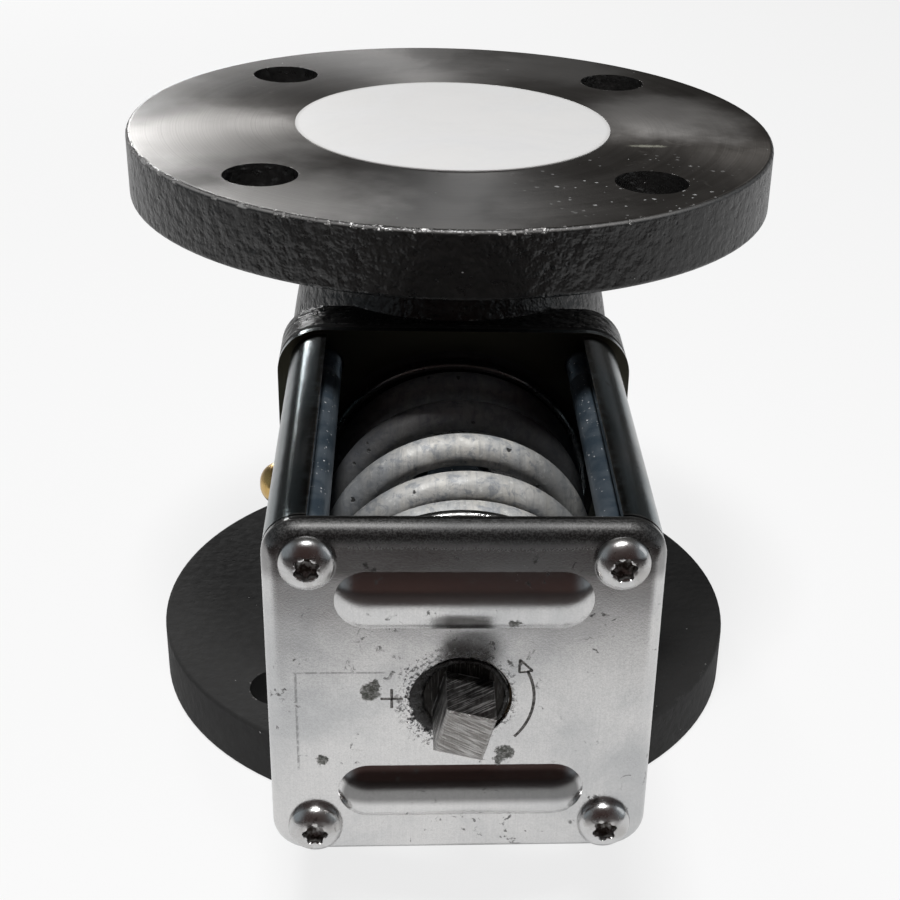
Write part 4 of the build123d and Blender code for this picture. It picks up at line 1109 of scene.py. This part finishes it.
def make_mark(name, shapes):
    """One struck mark from its strips."""
    points, faces = [], []
    for shape in shapes:
        add_shape(points, faces, *shape)
    piece = build(name, points, faces, MARK)
    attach(piece, "root")


def make_turn_arrow():
    first, last = math.radians(-42), math.radians(27)
    angles = [first + (last - first) * k / 32 for k in range(33)]
    line = [(ARROW_RADIUS * math.cos(angle), ARROW_RADIUS * math.sin(angle)) for angle in angles]
    shapes = [strip(line, MARK_WIDTH * 1.6)]
    for (x0, z0), (x1, z1) in zip(ARROW_HEAD, ARROW_HEAD[1:]):
        side = [((x0 + (x1 - x0) * k / 4) * MM, (z0 + (z1 - z0) * k / 4) * MM) for k in range(5)]
        shapes.append(strip(side, MARK_WIDTH * 1.3))
    make_mark("turn_arrow", shapes)


def make_plus_sign():
    level = strip([(PLUS_X - PLUS_ARM, 0.0), (PLUS_X + PLUS_ARM, 0.0)], MARK_WIDTH * 1.5)
    upright = strip([(PLUS_X, -PLUS_ARM), (PLUS_X, PLUS_ARM)], MARK_WIDTH * 1.5)
    make_mark("plus_sign", [level, upright])


make_turn_arrow()
make_plus_sign()


# Grease pressed out round the adjusting screw

GREASE_Y = -153.0 * MM


def make_grease():
    """A lumpy bead round the screw, thicker on its left."""
    count, around = 120, 14
    points = []
    for k in range(count):
        angle = TURN * k / count
        lump = noise.noise(Vector((math.cos(angle) * 2.2, math.sin(angle) * 2.2, 1.7)))
        left = max(0.0, math.sin(angle)) ** 1.5
        middle = (9.7 + 0.4 * lump + 0.8 * left) * MM
        half_width = (0.55 + 0.35 * lump + 1.1 * left) * MM
        half_depth = (0.45 + 0.35 * lump + 0.8 * left) * MM
        for j in range(around):
            turn = TURN * j / around
            rough = 1 + noise.noise(Vector((angle * 5, turn, 9.0))) * 0.3
            radius = middle + half_width * rough * math.cos(turn)
            points.append(stem_point(radius, angle, GREASE_Y + half_depth * rough * math.sin(turn)))
    piece = build("adjusting_grease", points, ring_faces(count, around, wrapped=True), GREASE)
    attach(piece, "root")


make_grease()


# Tube connector and adjusting screw, each with its real thread


def threaded_rows(start, end, radius, pitch, per_turn=8):
    """Close rows along a thread, as (y, radius) pairs before the thread is cut."""
    steps = round(abs(end - start) / pitch * per_turn)
    return [(start + (end - start) * k / steps, radius) for k in range(steps + 1)]


def thread_shape(start, end, pitch, depth):
    """Cuts a right-hand thread between two places along the stem."""

    def shape(y, radius, angle):
        if not start - 1e-9 <= y <= end + 1e-9:
            return y, radius
        run_out = min(1.0, (y - start) / pitch, (end - y) / pitch)
        wave = abs(2 * ((-y / pitch - angle / TURN) % 1.0) - 1)
        return y, radius - depth * wave * max(0.0, run_out)

    return shape


# The connector's profile behind its thread and in front of it, y and radius in mm
FLARE_BACK = [
    (114.6, 2.4), (114.6, 4.9), (116.98, 4.9), (117.0, 7.4), (117.2, 8.2), (123.4, 8.25), (123.9, 7.3),
    (124.0, 5.0),
]
FLARE_CONE = [(134.0, 5.2), (137.0, 2.75), (137.0, 2.4), (115.0, 2.4)]
FLARE_THREAD_START = 124.3 * MM
FLARE_THREAD_END = 133.6 * MM
FLARE_THREAD_RADIUS = 5.56 * MM
FLARE_PITCH = 1.27 * MM
HEXAGON_HALF = 7.15 * MM


def make_connector():
    """Flare connector: hexagon with chamfered corners, threaded spout and a cone with its bore."""
    profile = [(y * MM, radius * MM) for y, radius in FLARE_BACK]
    profile += threaded_rows(FLARE_THREAD_START, FLARE_THREAD_END, FLARE_THREAD_RADIUS, FLARE_PITCH)
    profile += [(y * MM, radius * MM) for y, radius in FLARE_CONE]
    cut = thread_shape(FLARE_THREAD_START + 0.1 * MM, FLARE_THREAD_END, FLARE_PITCH, 0.62 * MM)

    def shape(y, radius, angle):
        y, radius = cut(y, radius, angle)
        if radius > HEXAGON_HALF + 0.05 * MM:
            off = angle % (TURN / 6) - TURN / 12
            radius = min(radius, HEXAGON_HALF / math.cos(off))
        return y, radius

    piece = turned_piece("threaded_flare_connector", profile, BRASS, shape)
    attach(piece, "root")
    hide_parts("flare_connector")


make_connector()

SQUARE_HALF = 5.55 * MM
SQUARE_TURN = math.radians(-15)
SQUARE_CHAMFER = 0.6 * MM
SCREW_TIP = -168.0 * MM
COLLAR_FRONT = -152.8 * MM
COLLAR_RADIUS = 10.4 * MM
THRUST_FRONT = -150.1 * MM
THRUST_THICK = 3.6 * MM
THRUST_RADIUS = 15.0 * MM
THREAD_RADIUS = 6.35 * MM
THREAD_LENGTH = 52.0 * MM
THREAD_PITCH = 25.4 / 13 * MM
THREAD_DEPTH = 0.85 * MM
THREAD_CHAMFER = 1.2 * MM


def make_adjusting_screw():
    """Adjusting screw: chamfered square end, collar, thrust disc and its long thread."""
    thread_start = THRUST_FRONT + THRUST_THICK
    thread_end = thread_start + THREAD_LENGTH
    wide = 2 * SQUARE_HALF
    profile = [(SCREW_TIP, wide), (SCREW_TIP + SQUARE_CHAMFER, wide), (COLLAR_FRONT, wide)]
    profile += [(COLLAR_FRONT, COLLAR_RADIUS), (THRUST_FRONT, COLLAR_RADIUS)]
    profile += [(THRUST_FRONT, THRUST_RADIUS), (thread_start, THRUST_RADIUS)]
    profile += threaded_rows(thread_start, thread_end - THREAD_CHAMFER, THREAD_RADIUS, THREAD_PITCH)
    profile.append((thread_end, THREAD_RADIUS - THREAD_CHAMFER))
    cut = thread_shape(thread_start, thread_end, THREAD_PITCH, THREAD_DEPTH)

    def shape(y, radius, angle):
        if radius == wide:
            off = (angle - SQUARE_TURN + TURN / 8) % (TURN / 4) - TURN / 8
            half = SQUARE_HALF - (SQUARE_CHAMFER if y == SCREW_TIP else 0.0)
            return y, half / math.cos(off)
        if radius == THREAD_RADIUS:
            return cut(y, radius, angle)
        return y, radius

    piece = turned_piece("threaded_adjusting_screw", profile, STEEL, shape, SQUARE_TURN)
    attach(piece, "adjusting_screw")
    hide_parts("adjusting_screw")


make_adjusting_screw()


# Floor, light and camera

FLOOR_HALF = 6.0
ROOM_START = -0.27
ROOM_DARK = -0.37
DARK_ROOM = tone(0.04, 0.028, 0.026)
WHITE_SHARE = 0.8
MIRRORED_SHARE = 0.4


def make_floor():
    """Floor that is white to the camera; to the metal it is pale, and in front as dark as the room."""
    made, tree, shader = start_finish("pale_floor", Roughness=0.9)
    path = put(tree, "ShaderNodeLightPath").outputs
    behind = between(tree, split(tree, object_point(tree))["Y"], ROOM_DARK, ROOM_START)
    colour = mixed(tree, behind, DARK_ROOM, grey(0.86))
    feed(tree, shader.inputs["Base Color"], mixed(tree, path["Is Camera Ray"], colour, grey(0.86)))
    glow = put(tree, "ShaderNodeEmission", {"Color": (1, 1, 1, 1), "Strength": 1.0})
    mirrored = most(tree, path["Is Glossy Ray"], path["Is Transmission Ray"])
    mirrored = times(tree, mirrored, behind, MIRRORED_SHARE)
    share = times(tree, most(tree, path["Is Camera Ray"], mirrored), WHITE_SHARE)
    blend = put(tree, "ShaderNodeMixShader", {0: share, 1: shader.outputs[0], 2: glow.outputs[0]})
    output = next(n for n in tree.nodes if n.type == "OUTPUT_MATERIAL")
    feed(tree, output.inputs["Surface"], blend.outputs[0])
    corners = [(x * FLOOR_HALF, y * FLOOR_HALF, 0) for x, y in ((-1, -1), (1, -1), (1, 1), (-1, 1))]
    build("floor", corners, [(0, 1, 2, 3)], made)


def make_world():
    """White to the camera; it lights the valve softly from the sides and above, and stays dark in front."""
    world = bpy.data.worlds.new("soft_studio")
    bpy.context.scene.world = world
    world.use_nodes = True
    tree = world.node_tree
    background = next(n for n in tree.nodes if n.type == "BACKGROUND")
    part = split(tree, put(tree, "ShaderNodeTexCoord").outputs["Generated"])
    ahead = between(tree, part["Y"], 0.0, -0.4)
    sides = between(tree, calc(tree, "ABSOLUTE", part["X"]), 0.45, 0.95)
    above = between(tree, part["Z"], 0.88, 0.995)
    lit = layered(
        tree, mixed(tree, ahead, grey(0.06, 0.04), tone(0.05, 0.03, 0.027)),
        (sides, tone(0.27, 0.30, 0.32)),
        (above, grey(0.3)),
    )
    seen = put(tree, "ShaderNodeLightPath").outputs["Is Camera Ray"]
    feed(tree, background.inputs["Color"], mixed(tree, seen, lit, grey(1.0)))
    background.inputs["Strength"].default_value = 1.0


def area_light(name, place, target, size, power):
    data = bpy.data.lights.new(name, "AREA")
    data.energy = power
    data.size = size
    lamp = bpy.data.objects.new(name, data)
    bpy.context.scene.collection.objects.link(lamp)
    lamp.location = place
    lamp.rotation_mode = "QUATERNION"
    lamp.rotation_quaternion = (Vector(target) - Vector(place)).to_track_quat("-Z", "Y")


CAMERA_PLACE = Vector((-11.957, -458.980, 301.316)) * MM
CAMERA_TILT = (60.438, -2.462, -4.122)


def make_camera():
    data = bpy.data.cameras.new("photo_view")
    data.sensor_width = 36.0
    data.lens = 66.473
    data.shift_x = -0.11032
    data.shift_y = 0.09781
    data.clip_start = 0.01
    camera = bpy.data.objects.new("photo_view", data)
    bpy.context.scene.collection.objects.link(camera)
    camera.location = CAMERA_PLACE
    camera.rotation_euler = [math.radians(angle) for angle in CAMERA_TILT]
    bpy.context.scene.camera = camera


make_floor()
make_world()
area_light("overhead_softbox", (-0.06, -0.33, 1.12), (0, -0.06, 0.08), 0.2, 9.5)
area_light("left_rear_softbox", (-0.52, 1.6, 0.63), (-0.05, 0, 0.16), 0.4, 8.0)
area_light("right_softbox", (1.1, -0.1, 0.5), (0, -0.05, 0.08), 0.7, 0.8)
make_camera()
bpy.context.scene.view_settings.view_transform = "Standard"
